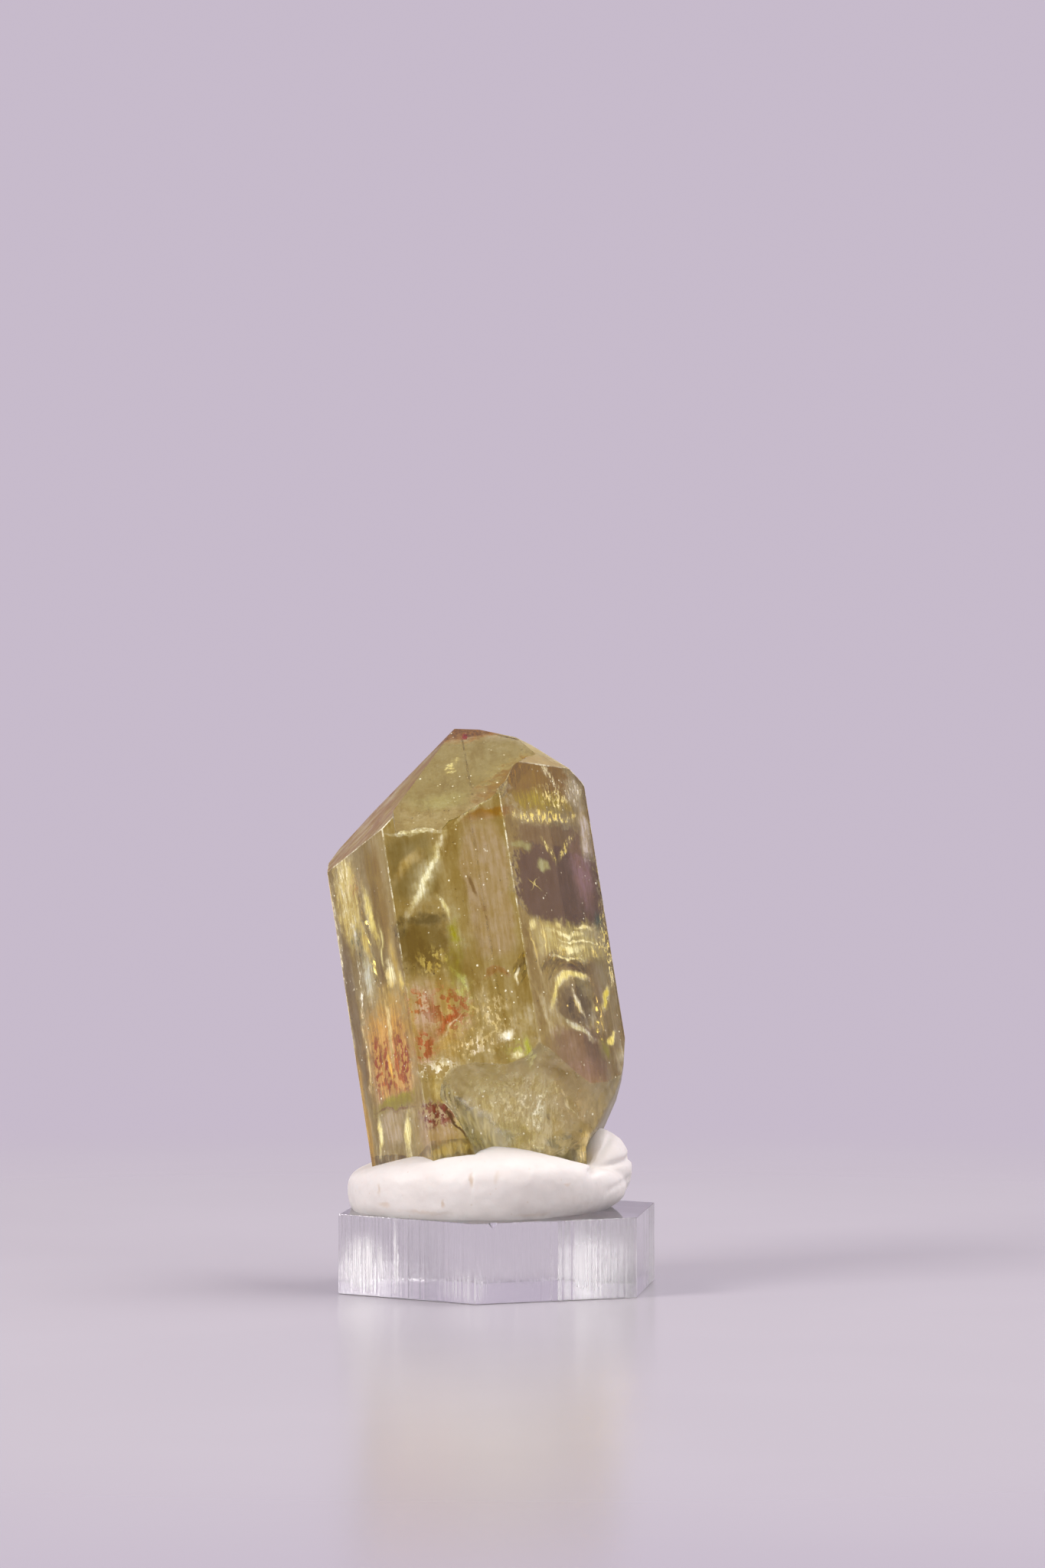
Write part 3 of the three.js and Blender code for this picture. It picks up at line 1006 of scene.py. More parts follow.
@dataclass
class ApatiteCrystal:
    """The hexagonal crystal with its pyramid tip, broken shoulder and hollow foot.

    Attributes:
        faces: Prism faces as bearing, distance from the axis, and flare.
        tip_faces: Sloping faces as bearing, slope from level, and crest height on the axis.
        stained_tips: Stained tip faces by number, with the stain's colour and strength.
        front_tip: The large front pyramid face.
        shoulder_line: Broken line up to which the right side stands proud of that face.
        hollow_top: Upper edge of the broken hollow at the foot, height over place.
        hollow_left: Left edge of the hollow, place over height.
        worn_corner: Outline of the worn lower right corner.
        hollow_round: How softly the hollow's top runs into its left side.
        hollow_fade: Distance from the hollow's edge over which it reaches its floor.
        hollow_floor: Depth of its floor at a place across, that place, and its slopes right and down.
        hollow_scoop: Strength, start and power of the deepening to the right.
        hollow_relief: Height of its ribs, and of its fine roughness.
        shoulder_relief: Scale and height of the shoulder's ribs, and height of its fine roughness.
        shoulder_rise: Rise of the shoulder towards the back.
        socket_clearance: How much smaller the putty's socket is.
        foot_level: Height of the crystal's lowest point in the putty.
        edge_wear: Width of the worn bevel on the edges.
        right_facing_break_tint: Brownish tint of the breaks that face right, with its strength.
        right_facing_tint_from: Place across and height from which that tint lies on them.
    """

    faces: tuple[tuple[float, float, float], ...] = (
        (FRONT_BEARING, 11.2, 0.0),
        (FRONT_BEARING + 60.0, 8.25, 0.0),
        (FRONT_BEARING + 120.0, 8.5, 0.0),
        (FRONT_BEARING + 172.0, 6.4, 0.0),
        (FRONT_BEARING + 188.0, 6.4, 0.0),
        (FRONT_BEARING + 240.0, 9.75, 5.0),
        (FRONT_BEARING + 300.0, 11.45, 0.0),
        (180.0, 12.28, 0.0),
    )
    tip_faces: tuple[tuple[float, float, float], ...] = (
        (-158.0, 40.8, 36.3),
        (147.0, 33.0, 38.0),
        (88.5, 40.3, 39.4),
        (28.5, 40.3, 38.6),
        (-31.5, 40.3, 38.3),
        (0.0, 14.0, 36.9),
        (-6.0, 34.0, 38.2),
        (4.0, 47.0, 40.45),
        (-3.0, 67.0, 52.7),
    )
    stained_tips: tuple[tuple[int, Colour, float], ...] = (
        (8, (0.36, 0.17, 0.01), 0.8),
        (7, (0.36, 0.17, 0.01), 0.8),
        (6, (0.50, 0.30, 0.08), 0.7),
        (5, (0.46, 0.24, 0.05), 0.7),
        (4, (0.58, 0.44, 0.16), 0.6),
        (0, (0.22, 0.09, 0.045), 0.85),
    )
    front_tip: tuple[float, float, float] = (-87.3, 38.5, 34.95)
    shoulder_line: tuple[Pair, ...] = (
        (-4.0, 24.5), (-2.5, 25.9), (-1.5, 26.9), (0.0, 27.2), (0.9, 27.8), (2.5, 28.3),
        (3.6, 29.9), (4.7, 31.3), (5.8, 32.2), (6.6, 32.7), (10.5, 32.9),
    )
    hollow_top: tuple[Pair, ...] = (
        (-7.0, 4.2), (-6.1, 5.3), (-5.5, 6.6), (-4.6, 7.2), (-2.5, 7.2), (-0.1, 6.6), (1.6, 7.0),
        (2.8, 8.0), (3.8, 7.2), (5.2, 5.7), (6.3, 4.8), (7.6, 5.0), (10.5, 6.6),
    )
    hollow_left: tuple[Pair, ...] = (
        (-7.0, -3.1), (0.5, -3.7), (2.3, -4.4), (3.6, -5.0), (4.9, -6.0), (8.0, -6.0),
    )
    worn_corner: tuple[Pair, ...] = (
        (9.75, 9.2), (9.4, 7.6), (9.2, 6.7), (8.8, 5.5), (8.15, 4.2), (7.1, 2.8), (6.3, 1.7),
        (5.6, 0.9), (5.1, 0.1), (5.0, -0.7), (4.8, -9.0),
    )
    hollow_round: float = 0.9
    hollow_fade: float = 1.5
    hollow_floor: tuple[float, float, float, float] = (-10.4, -6.0, 0.3, 0.28)
    hollow_scoop: tuple[float, float, float] = (0.42, 2.2, 1.35)
    hollow_relief: Pair = (0.13, 0.07)
    shoulder_relief: tuple[float, float, float] = (1.3, 0.16, 0.12)
    shoulder_rise: float = 0.1
    socket_clearance: float = 0.04
    foot_level: float = 7.3
    edge_wear: float = 0.13
    right_facing_break_tint: tuple[float, float, float, float] = (0.44, 0.27, 0.10, 0.4)
    right_facing_tint_from: Pair = (3.0, 1.9)

    def stock(self, name: str, clearance: float) -> bpy.types.Object:
        """Cuts the untouched crystal form from a cube.

        Args:
            name: Name of the object.
            clearance: How far every face stands out, in millimetres.

        Returns:
            The mesh object, in the crystal's own frame.
        """
        bpy.ops.object.select_all(action="DESELECT")
        bpy.ops.mesh.primitive_cube_add(size=1.0, location=(0.0, 0.0, 15.0), scale=(44.0, 44.0, 70.0))
        block = added(name)
        bpy.ops.object.transform_apply(location=True, rotation=True, scale=True)
        for bearing, distance, flare in self.faces:
            cut_away(block, bearing_vector(bearing, -flare), distance + clearance)
        for bearing, slope, crest in self.tip_faces:
            self._cut_tip(block, (bearing, slope, crest), clearance)
        level = CRYSTAL_POSE.to_3x3().transposed() @ Vector((0.0, 0.0, -1.0))
        height = self.foot_level - clearance
        cut_away(block, level, -(height - CRYSTAL_POSE.translation.z))
        return block

    def _cut_tip(self, block: bpy.types.Object, face: tuple[float, float, float], clearance: float,
                 keep_outer: bool = False) -> None:
        """Cuts one sloping tip face."""
        normal = bearing_vector(face[0], 90.0 - face[1])
        cut_away(block, normal, normal.z * face[2] + clearance, keep_outer)

    def _front_of_prism(self, x: np.ndarray) -> np.ndarray:
        """Front of the untouched prism at places across it."""
        fronts = []
        for bearing, distance, _ in self.faces[:2]:
            normal = bearing_vector(bearing)
            fronts.append((distance - normal.x * x) / normal.y)
        return np.maximum(fronts[0], fronts[1])

    @staticmethod
    def _relief(u: np.ndarray, v: np.ndarray) -> np.ndarray:
        """Shallow ribs and dimples of a shell-like break."""
        return (
            0.5 * np.sin(1.9 * u + 0.8 * v)
            + 0.35 * np.sin(2.7 * v - 1.1 * u + 1.3)
            + 0.15 * np.sin(4.3 * u + 3.1 * v + 0.4)
        )

    def _slab(self, name: str, centre: Vector, width: float, depth: float, cells: int) -> bpy.types.Object:
        """A fine grid pulled up into a closed block 30 mm high, to be shaped on its lower side."""
        bpy.ops.object.select_all(action="DESELECT")
        bpy.ops.mesh.primitive_grid_add(x_subdivisions=cells, y_subdivisions=cells, size=1.0, location=centre)
        slab = added(name)
        slab.scale = (width, depth, 1.0)
        bpy.ops.object.transform_apply(location=True, rotation=True, scale=True)
        edit_all(
            slab,
            lambda: bpy.ops.mesh.extrude_region_move(TRANSFORM_OT_translate={"value": (0.0, 0.0, 30.0)}),
        )
        edit_all(slab, lambda: bpy.ops.mesh.normals_make_consistent(inside=False))
        return slab

    def notch_tool(self) -> bpy.types.Object:
        """What is missing above the broken shoulder line, in front of the pyramid face.

        Returns:
            The cutting tool, shaded smooth where it leaves a break.
        """
        slab = self._slab("notch_tool", Vector((3.0, 0.0, 0.0)), 18.0, 30.0, 90)

        def shape(places: np.ndarray) -> np.ndarray:
            """Lowers the slab's underside to the broken shoulder."""
            x, y, z = places.T
            behind = np.maximum(0.0, y - self._front_of_prism(x))
            scale, ribs, fine = self.shoulder_relief
            rough = ribs * self._relief(scale * x, scale * y) + fine * fractal(places * (1, 1, 0), 1.3, 2.0)
            floor = along(self.shoulder_line, x) + self.shoulder_rise * behind + rough
            return np.column_stack([x, y, np.where(z < 15.0, floor, 60.0)])

        reshape(slab, shape)
        shade(slab, True)
        self._cut_tip(slab, self.front_tip, 0.0, keep_outer=True)
        normal = bearing_vector(self.front_tip[0], 90.0 - self.front_tip[1])
        for face in slab.data.polygons:
            face.use_smooth = abs(face.normal.dot(normal)) < 0.9999
        return slab

    def hollow_tool(self, set_back: float) -> bpy.types.Object:
        """What the broken hollow has taken from the foot.

        Args:
            set_back: How far its rear is moved forward, in millimetres.

        Returns:
            The cutting tool.
        """
        slab = self._slab("hollow_tool", Vector((2.0, 0.0, 0.0)), 20.0, 20.0, 110)

        def shape(places: np.ndarray) -> np.ndarray:
            """Sets the slab upright, its rear shaped as the hollow."""
            x, up, layer = places.T
            front = self._front_of_prism(x)
            below = along(self.hollow_top, x) - up
            aside = x - along(self.hollow_left, up)
            inside = -self.hollow_round * np.logaddexp(-below / self.hollow_round, -aside / self.hollow_round)
            settled = 1.0 - np.exp(-np.maximum(inside, 0.0) / self.hollow_fade)
            strength, left, power = self.hollow_scoop
            scoop = strength * np.maximum(0.0, x - left) ** power
            deep, place, rightward, downward = self.hollow_floor
            floor = deep + rightward * (x - place) + downward * below + scoop
            depth = np.maximum(front * (1.0 - settled) + floor * settled, front)
            ribs, rough = self.hollow_relief
            fine = fractal(np.column_stack([x, up, 0.0 * x]), 1.1, 5.0, 4)
            depth = depth + settled * (ribs * self._relief(x, up) + rough * fine)
            rear = np.where(inside < 0.0, front + inside, depth) - set_back
            return np.column_stack([x, np.where(layer < 15.0, rear, -34.0), up])

        reshape(slab, shape)
        edit_all(slab, lambda: bpy.ops.mesh.normals_make_consistent(inside=False))
        shade(slab, True)
        return slab

    def corner_tool(self, set_back: float) -> bpy.types.Object:
        """What is worn off the lower right corner.

        Args:
            set_back: How far the worn outline is moved to the right, in millimetres.

        Returns:
            The cutting tool.
        """
        outline = [(16.0, self.worn_corner[0][1])]
        outline += [(x + set_back, z) for x, z in self.worn_corner]
        outline += [(16.0, self.worn_corner[-1][1])]
        mesh = bpy.data.meshes.new("corner_tool")
        mesh.from_pydata([(x, -40.0, z) for x, z in outline], [], [tuple(range(len(outline)))])
        tool = bpy.data.objects.new("corner_tool", mesh)
        bpy.context.scene.collection.objects.link(tool)
        edit_all(
            tool,
            lambda: bpy.ops.mesh.extrude_region_move(TRANSFORM_OT_translate={"value": (0.0, 80.0, 0.0)}),
        )
        edit_all(tool, lambda: bpy.ops.mesh.normals_make_consistent(inside=False))
        shade(tool, True)
        return tool

    def socket_tool(self) -> bpy.types.Object:
        """The crystal's foot a hair smaller than it is, so that the putty seats tight on it."""
        tool = self.stock("socket_tool", -self.socket_clearance)
        carve(tool, self.hollow_tool(-self.socket_clearance))
        carve(tool, self.corner_tool(-self.socket_clearance))
        settle(tool, CRYSTAL_POSE)
        return tool

    def build(self, finish: bpy.types.Material) -> bpy.types.Object:
        """Makes the crystal and dresses it.

        Args:
            finish: The clear apatite material.

        Returns:
            The finished piece.
        """
        crystal = self.stock("apatite", 0.0)
        apply_modifier(crystal, "BEVEL", width=self.edge_wear, segments=2, limit_method="ANGLE",
                       angle_limit=math.radians(12.0), profile=0.6)
        shade(crystal, False)
        carve(crystal, self.notch_tool())
        carve(crystal, self.hollow_tool(0.0))
        carve(crystal, self.corner_tool(0.0))
        self._mark_breaks(crystal)
        settle(crystal, CRYSTAL_POSE)
        crystal.data.materials.clear()
        crystal.data.materials.append(finish)
        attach(crystal, "root")
        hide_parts("apatite_crystal")
        log.info("crystal: %d faces", len(crystal.data.polygons))
        return crystal

    def _mark_breaks(self, crystal: bpy.types.Object) -> None:
        """Writes which faces are breaks, worn edges or stained.

        Args:
            crystal: The cut crystal, whose breaks are shaded smooth by the cutting tools.
        """
        broken = np.empty(len(crystal.data.polygons), dtype=bool)
        crystal.data.polygons.foreach_get("use_smooth", broken)
        normals = face_vectors(crystal, "normal")
        x, _, up = face_vectors(crystal, "center").T
        flats = [bearing_vector(bearing, -flare) for bearing, _, flare in self.faces]
        tips = (*self.tip_faces, self.front_tip)
        flats += [bearing_vector(bearing, 90.0 - slope) for bearing, slope, _ in tips]
        closest = (normals @ np.array([tuple(flat) for flat in flats]).T).max(axis=1)
        worn = (closest < SAME_WAY) & ~broken & (normals[:, 2] > -0.9)
        stains = np.zeros((len(broken), 4))
        for number, colour, strength in self.stained_tips:
            bearing, slope, _ = self.tip_faces[number]
            lean = normals @ np.array(bearing_vector(bearing, 90.0 - slope))
            near = ~broken & ((lean > SAME_WAY) | (worn & (lean > NEARLY_SAME_WAY)))
            stains[near] = (*colour, strength)
        # Breaks that face right, low on the right side, get a brownish tint
        least_x, least_up = self.right_facing_tint_from
        stains[broken & (normals[:, 0] > 0.6) & (x > least_x) & (up > least_up)] = self.right_facing_break_tint
        write_layer(crystal, "broken", broken)
        write_layer(crystal, "worn", worn)
        write_layer(crystal, "stain", stains)


@dataclass(frozen=True)
class InnerBreakFinish:
    """Thin reflecting film in a crack inside the crystal.

    Attributes:
        name: Name of the material.
        colour: Colour of the film.
        cover: Least and greatest opacity.
        metallic: How mirror-like it is.
        roughness: Roughness of the film.
        grain: Size of its streaks in metres.
        stretch: How much longer the streaks are than wide.
        sharp: Noise levels between which the opacity rises.
    """

    name: str
    colour: Colour
    cover: Pair = (0.15, 0.95)
    metallic: float = 0.3
    roughness: float = 0.3
    grain: float = 0.0011
    stretch: float = 3.0
    sharp: Pair = (0.38, 0.62)

    def build(self) -> bpy.types.Material:
        """Makes the material.

        Returns:
            The material.
        """
        board = NodeBoard(self.name)
        streaked = board.placed(CRYSTAL_POSE, (1.0, 1.0, self.stretch), board.stirred(0.0015, 0.0006))
        streaks = board.noise(streaked, MM / self.grain, 4.0, 0.6)
        fade = board.attribute("fade")
        cover = board.spread(streaks, *self.sharp, *self.cover)
        dark = tuple(channel * 0.75 for channel in self.colour)
        board.principled(
            Base_Color=board.mix(board.cloud(0.0007, 3.0), self.colour, dark),
            Metallic=self.metallic,
            Roughness=self.roughness,
            Alpha=board.times(cover, fade),
            Normal=board.bump(streaks, 0.0001, 0.5),
        )
        return board.material


class Film(Enum):
    """Kinds of film inside the crystal."""

    GOLD = InnerBreakFinish("golden_break", (0.98, 0.92, 0.62), (0.35, 1.0), 0.9, 0.25)
    SILVER = InnerBreakFinish("silver_break", (0.96, 0.95, 0.92), (0.1, 1.0), 0.9, 0.2, 0.0009)


FILM_THICKNESS = 0.015

# How far a film behind a slanting face is shifted along it for each millimetre of depth, so that it
# is seen where it is placed
SIGHT_SHIFT = 0.62


@dataclass(frozen=True)
class InnerBreak:
    """A curved crack surface inside the crystal.

    Attributes:
        film: What it looks like.
        side: The prism face that it is seen through.
        across: Its middle across that face, in millimetres.
        up: Its middle up the crystal.
        half: Half width and half height, or inner and outer radius of an arc.
        depth: How far behind the face it lies.
        roll: Turn in the face, in degrees, clockwise from outside.
        lean: Turn about its own length, in degrees.
        pitch: How far its face tips upward, in degrees.
        curl: How far its edges bend back, in millimetres.
        ripple: Height of its ripples.
        arc: Start and end angle of an arc, in degrees, or None for a blade.
        soft: How far the film fades towards its outline.
    """

    film: Film
    side: PrismSide
    across: float
    up: float
    half: Pair
    depth: float = 0.8
    roll: float = 0.0
    lean: float = 0.0
    pitch: float = 0.0
    curl: float = 0.4
    ripple: float = 0.05
    arc: Pair | None = None
    soft: float = 0.35

    def build(self, number: int) -> bpy.types.Object:
        """Makes the thin closed sheet.

        Args:
            number: Its number, which also varies its outline.

        Returns:
            The sheet, in the crystal's place.
        """
        bpy.ops.object.select_all(action="DESELECT")
        bpy.ops.mesh.primitive_grid_add(x_subdivisions=36, y_subdivisions=24, size=2.0)
        sheet = added(f"inner_break_{number:02d}")
        self._write_fade(sheet)
        reshape(sheet, lambda places: self._shape(places, number))
        apply_modifier(sheet, "SOLIDIFY", thickness=FILM_THICKNESS, offset=0.0)
        shade(sheet, True)
        reach = SIGHT_SHIFT * self.depth
        shift = {PrismSide.RIGHT: reach, PrismSide.LEFT: -reach}.get(self.side, 0.0)
        place = side_frame(self.side, self.across + shift, self.up, self.depth, self.roll)
        lean = Matrix.Rotation(math.radians(self.lean), 4, "Z")
        pitch = Matrix.Rotation(math.radians(-self.pitch), 4, "X")
        settle(sheet, CRYSTAL_POSE @ place @ (lean @ pitch))
        return sheet

    def _write_fade(self, sheet: bpy.types.Object) -> None:
        """Writes how strong the film is at each point, from its middle to its outline."""
        places = np.empty(len(sheet.data.vertices) * 3)
        sheet.data.vertices.foreach_get("co", places)
        u, v = places.reshape(-1, 3)[:, 0], places.reshape(-1, 3)[:, 1]
        reach = np.maximum(np.abs(u) ** 2, np.abs(v) ** 2) if self.arc else np.hypot(u, v)
        fade = np.clip((1.0 - reach) / max(self.soft, 0.01), 0.0, 1.0)
        write_layer(sheet, "fade", fade, "POINT")

    def _shape(self, places: np.ndarray, number: int) -> np.ndarray:
        """Bends the flat square grid to the crack's form.

        Args:
            places: Points of the grid, from -1 to 1.
            number: The crack's number.

        Returns:
            The points in millimetres: X across, Y inward, Z up.
        """
        u, v, _ = places.T
        ragged = 1.0 + 0.16 * fractal(np.column_stack([u, v, 0 * u]), 0.7, number * 1.3)
        if self.arc:
            inner, outer = self.half
            middle = np.radians(0.5 * (self.arc[0] + self.arc[1]) + 0.5 * (self.arc[1] - self.arc[0]) * u)
            radius = 0.5 * (inner + outer) + 0.5 * (outer - inner) * v * ragged
            x, z = radius * np.cos(middle), radius * np.sin(middle)
        else:
            x, z = self.half[0] * u * ragged, self.half[1] * v * (2.0 - ragged)
        bend = self.curl * (u**2 + v**2) + self.ripple * np.sin(9.0 * v + 3.0 * u + number)
        return np.column_stack([x, bend, z])


# The putty


@dataclass
class PuttyLump:
    """The pressed lump of putty with its folded roll.

    Attributes:
        centre: Middle of the cushion in plan.
        half: Half width and half depth.
        middle: Height of the cushion's widest level.
        sag: How far it would reach below that level if the block didn't stop it.
        rim: Rise of the rim in front, at the side and at the back.
        squareness: How square its section is; smaller is squarer.
        wobble: How much its outline waves.
        tuck: How far the right side draws in below, and the depth at which it does fully.
        roll_reach: Distance of the roll's middle from the centre.
        roll_turn: Bearing of its middle and half its sweep, in degrees.
        roll_half: Its half width and half height.
        roll_level: Height of its middle.
        voxel: Cell size at which cushion and roll are merged.
        dents: Soft dents, each as height, size and pattern number.
        press: How far the whole surface is pressed in.
        creases: Fold lines seen from the front, as two ends, width and depth.
    """

    centre: Pair = (-1.17, 0.2)
    half: Pair = (11.3, 11.2)
    middle: float = 8.2
    sag: float = 4.2
    rim: tuple[float, float, float] = (3.9, 1.8, 2.9)
    squareness: float = 0.62
    wobble: float = 0.022
    tuck: Pair = (0.12, 0.27)
    roll_reach: float = 9.75
    roll_turn: Pair = (30.0, 42.0)
    roll_half: Pair = (2.9, 3.35)
    roll_level: float = 9.4
    voxel: float = 0.2
    dents: tuple[tuple[float, float, float], ...] = ((0.10, 3.4, 1.0), (0.04, 0.9, 7.0))
    press: float = 0.06
    creases: tuple[tuple[Pair, Pair, float, float], ...] = (
        ((7.6, 9.8), (11.2, 10.4), 0.28, 0.40),
        ((7.9, 9.9), (9.2, 12.0), 0.24, 0.30),
        ((9.0, 8.2), (10.6, 8.8), 0.22, 0.12),
        ((-2.15, 9.0), (-2.1, 10.3), 0.12, 0.10),
    )

    @staticmethod
    def _off_line(places: np.ndarray, start: Pair, end: Pair) -> np.ndarray:
        """Distance of places from a line seen from the front, for places in front only."""
        flat = places[:, [0, 2]]
        first, last = np.array(start), np.array(end)
        share = np.clip((flat - first) @ (last - first) / ((last - first) @ (last - first)), 0.0, 1.0)
        off = np.linalg.norm(flat - first - share[:, None] * (last - first), axis=1)
        return np.where(places[:, 1] < 4.0, off, 99.0)

    def _cushion(self) -> bpy.types.Object:
        """The cushion, shaped from a ball.

        Returns:
            The mesh object.
        """
        bpy.ops.object.select_all(action="DESELECT")
        bpy.ops.mesh.primitive_uv_sphere_add(segments=128, ring_count=64, radius=1.0)
        ball = added("putty")

        def shape(places: np.ndarray) -> np.ndarray:
            """Squares and sags the ball."""
            x, y, up = places.T
            across = np.clip(np.hypot(x, y), 0.0, 1.0)
            angle = np.arctan2(y, x)
            forward = -np.sin(angle)
            end = np.where(forward > 0.0, self.rim[0], self.rim[2])
            rim = self.rim[1] + (end - self.rim[1]) * np.abs(forward) ** 1.2
            waves = np.sin(3 * angle + 0.6) + 0.6 * np.sin(5 * angle + 2.1)
            low = np.clip(-up / self.tuck[1], 0.0, 1.2) ** 1.5
            tuck = self.tuck[0] * np.clip(np.cos(angle), 0.0, 1.0) ** 2 * low
            reach = across**self.squareness * (1.0 + self.wobble * waves) * (1.0 - tuck)
            lift = np.sign(up) * np.abs(up) ** self.squareness
            return np.column_stack([
                self.centre[0] + self.half[0] * reach * np.cos(angle),
                self.centre[1] + self.half[1] * reach * np.sin(angle),
                self.middle + lift * np.where(up > 0.0, rim, self.sag),
            ])

        reshape(ball, shape)
        return ball

    def _roll(self) -> bpy.types.Object:
        """The roll folded over the rim, bent to follow it.

        Returns:
            The mesh object, to be joined to the cushion.
        """
        bpy.ops.object.select_all(action="DESELECT")
        bpy.ops.mesh.primitive_uv_sphere_add(segments=64, ring_count=40, radius=1.0)
        roll = added("roll_tool")

        def shape(places: np.ndarray) -> np.ndarray:
            """Bends the ball along the rim."""
            x, y, up = places.T
            angle = np.radians(self.roll_turn[0] + self.roll_turn[1] * y)
            reach = self.roll_reach + self.roll_half[0] * x
            return np.column_stack([
                self.centre[0] + reach * np.cos(angle),
                self.centre[1] + reach * np.sin(angle),
                self.roll_level + self.roll_half[1] * up,
            ])

        reshape(roll, shape)
        return roll

    def build(self, crystal: ApatiteCrystal, finish: bpy.types.Material) -> bpy.types.Object:
        """Makes the putty and dresses it.

        Args:
            crystal: The crystal, whose foot is pressed into it.
            finish: The putty material.

        Returns:
            The finished piece.
        """
        putty = self._cushion()
        carve(putty, self._roll(), "UNION")
        apply_modifier(putty, "REMESH", mode="VOXEL", voxel_size=self.voxel, use_smooth_shade=True)
        apply_modifier(putty, "SMOOTH", factor=0.6, iterations=5)

        def press(places: np.ndarray) -> np.ndarray:
            """Presses dents and creases in."""
            middle = np.array([self.centre[0], self.centre[1], self.middle])
            outward = places - middle
            outward = outward / np.linalg.norm(outward, axis=1, keepdims=True)
            dent = sum(height * fractal(places, size, seed) for height, size, seed in self.dents) - self.press
            for start, end, width, depth in self.creases:
                dent -= depth * np.exp(-((self._off_line(places, start, end) / width) ** 2))
            return places + outward * dent[:, None]

        reshape(putty, press)
        settle(putty, SPECIMEN_POSE)
        carve(putty, crystal.socket_tool())
        floor = Vector((0.0, 0.0, -1.0))
        cut_away(putty, floor, -BLOCK_TOP * MM)
        shade(putty, True)
        activate(putty)
        bpy.ops.object.shade_smooth_by_angle(angle=math.radians(50.0))
        putty.data.materials.clear()
        putty.data.materials.append(finish)
        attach(putty, "root")
        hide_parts("mineral_putty")
        log.info("putty: %d faces", len(putty.data.polygons))
        return putty


# The block


@dataclass
class AcrylicBlock:
    """The clear hexagonal block with sawn sides.

    Attributes:
        across_flats: Size across flats.
        thickness: Thickness of the sheet.
        teeth: How many saw lines each side has.
        tooth_depth: Greatest depth of a saw line.
        tooth_pitch: Width of a saw line.
        edge_round: Width of the bevel on its edges.
        chip_place: Place of the small chip off the front upper edge.
        chip_size: Radius and depth of that chip.
    """

    across_flats: float = 24.0
    thickness: float = BLOCK_TOP
    teeth: int = 72
    tooth_depth: float = 0.06
    tooth_pitch: float = 0.05
    edge_round: float = 0.07
    chip_place: tuple[float, float, float] = (1.33, -13.2, BLOCK_TOP)
    chip_size: Pair = (0.8, 1.1)

    def build(self, finish: bpy.types.Material) -> bpy.types.Object:
        """Makes the block and dresses it.

        Args:
            finish: The clear acrylic material.

        Returns:
            The finished piece.
        """
        radius = self.across_flats / math.sqrt(3.0)
        bpy.ops.object.select_all(action="DESELECT")
        bpy.ops.mesh.primitive_cylinder_add(vertices=6, radius=radius, depth=self.thickness,
                                            location=(0.0, 0.0, self.thickness / 2.0))
        block = added("clear_block")
        bpy.ops.object.transform_apply(location=True, rotation=True, scale=True)
        edit_all(block, lambda: bpy.ops.mesh.bevel(offset=self.edge_round, segments=2, affect="EDGES"))
        self._saw(block)
        carve(block, self._chip())
        self._mark_sides(block)
        settle(block, Matrix.Identity(4))
        block.data.materials.clear()
        block.data.materials.append(finish)
        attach(block, "root")
        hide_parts("acrylic_base")
        log.info("block: %d faces", len(block.data.polygons))
        return block

    def _saw(self, block: bpy.types.Object) -> None:
        """Divides the sides into upright strips and pushes them in by uneven amounts.

        Args:
            block: The bevelled block.
        """
        activate(block)
        bpy.ops.object.mode_set(mode="EDIT")
        bpy.ops.mesh.select_mode(type="EDGE")
        bpy.ops.mesh.select_all(action="DESELECT")
        mesh = bmesh.from_edit_mesh(block.data)
        for edge in mesh.edges:
            first, second = (vertex.co for vertex in edge.verts)
            level = abs(first.z - second.z) < 1e-4
            as_long_as_a_side = (first - second).length > 0.2 * self.across_flats
            at_side = any(abs(face.normal.z) < 0.1 for face in edge.link_faces)
            edge.select = level and as_long_as_a_side and at_side
        bmesh.update_edit_mesh(block.data)
        bpy.ops.mesh.subdivide(number_cuts=self.teeth)
        bpy.ops.object.mode_set(mode="OBJECT")
        apothem = self.across_flats / 2.0

        def shape(places: np.ndarray) -> np.ndarray:
            """Sets the saw lines into the six sides."""
            out = places.copy()
            for side in range(6):
                outward = np.array(bearing_vector(60.0 * side))[:2]
                right = np.array(bearing_vector(60.0 * side + 90.0))[:2]
                flat = out[:, :2]
                reach = flat @ outward
                sideways = flat @ right
                on = (reach > apothem - 0.02) & (np.abs(sideways) < apothem / math.sqrt(3.0) - 0.2)
                columns = np.round(sideways[on] / self.tooth_pitch).astype(int)
                uneven = [abs(noise.noise(Vector((column * 0.31, side * 7.0, 0.5)))) for column in columns]
                out[np.where(on)[0], :2] -= np.outer(self.tooth_depth * np.array(uneven), outward)
            return out

        reshape(block, shape)

    def _chip(self) -> bpy.types.Object:
        """The small chip off the front upper edge."""
        radius, depth = self.chip_size
        bpy.ops.object.select_all(action="DESELECT")
        bpy.ops.mesh.primitive_cone_add(vertices=7, radius1=radius, radius2=0.05, depth=depth,
                                        location=self.chip_place,
                                        rotation=(math.radians(180.0), 0.0, 0.4))
        chip = added("chip_tool")
        bpy.ops.object.transform_apply(location=True, rotation=True, scale=True)
        return chip

    @staticmethod
    def _mark_sides(block: bpy.types.Object) -> None:
        """Writes which faces are sawn sides."""
        write_layer(block, "sawn", np.abs(face_vectors(block, "normal")[:, 2]) < 0.2)


# The studio


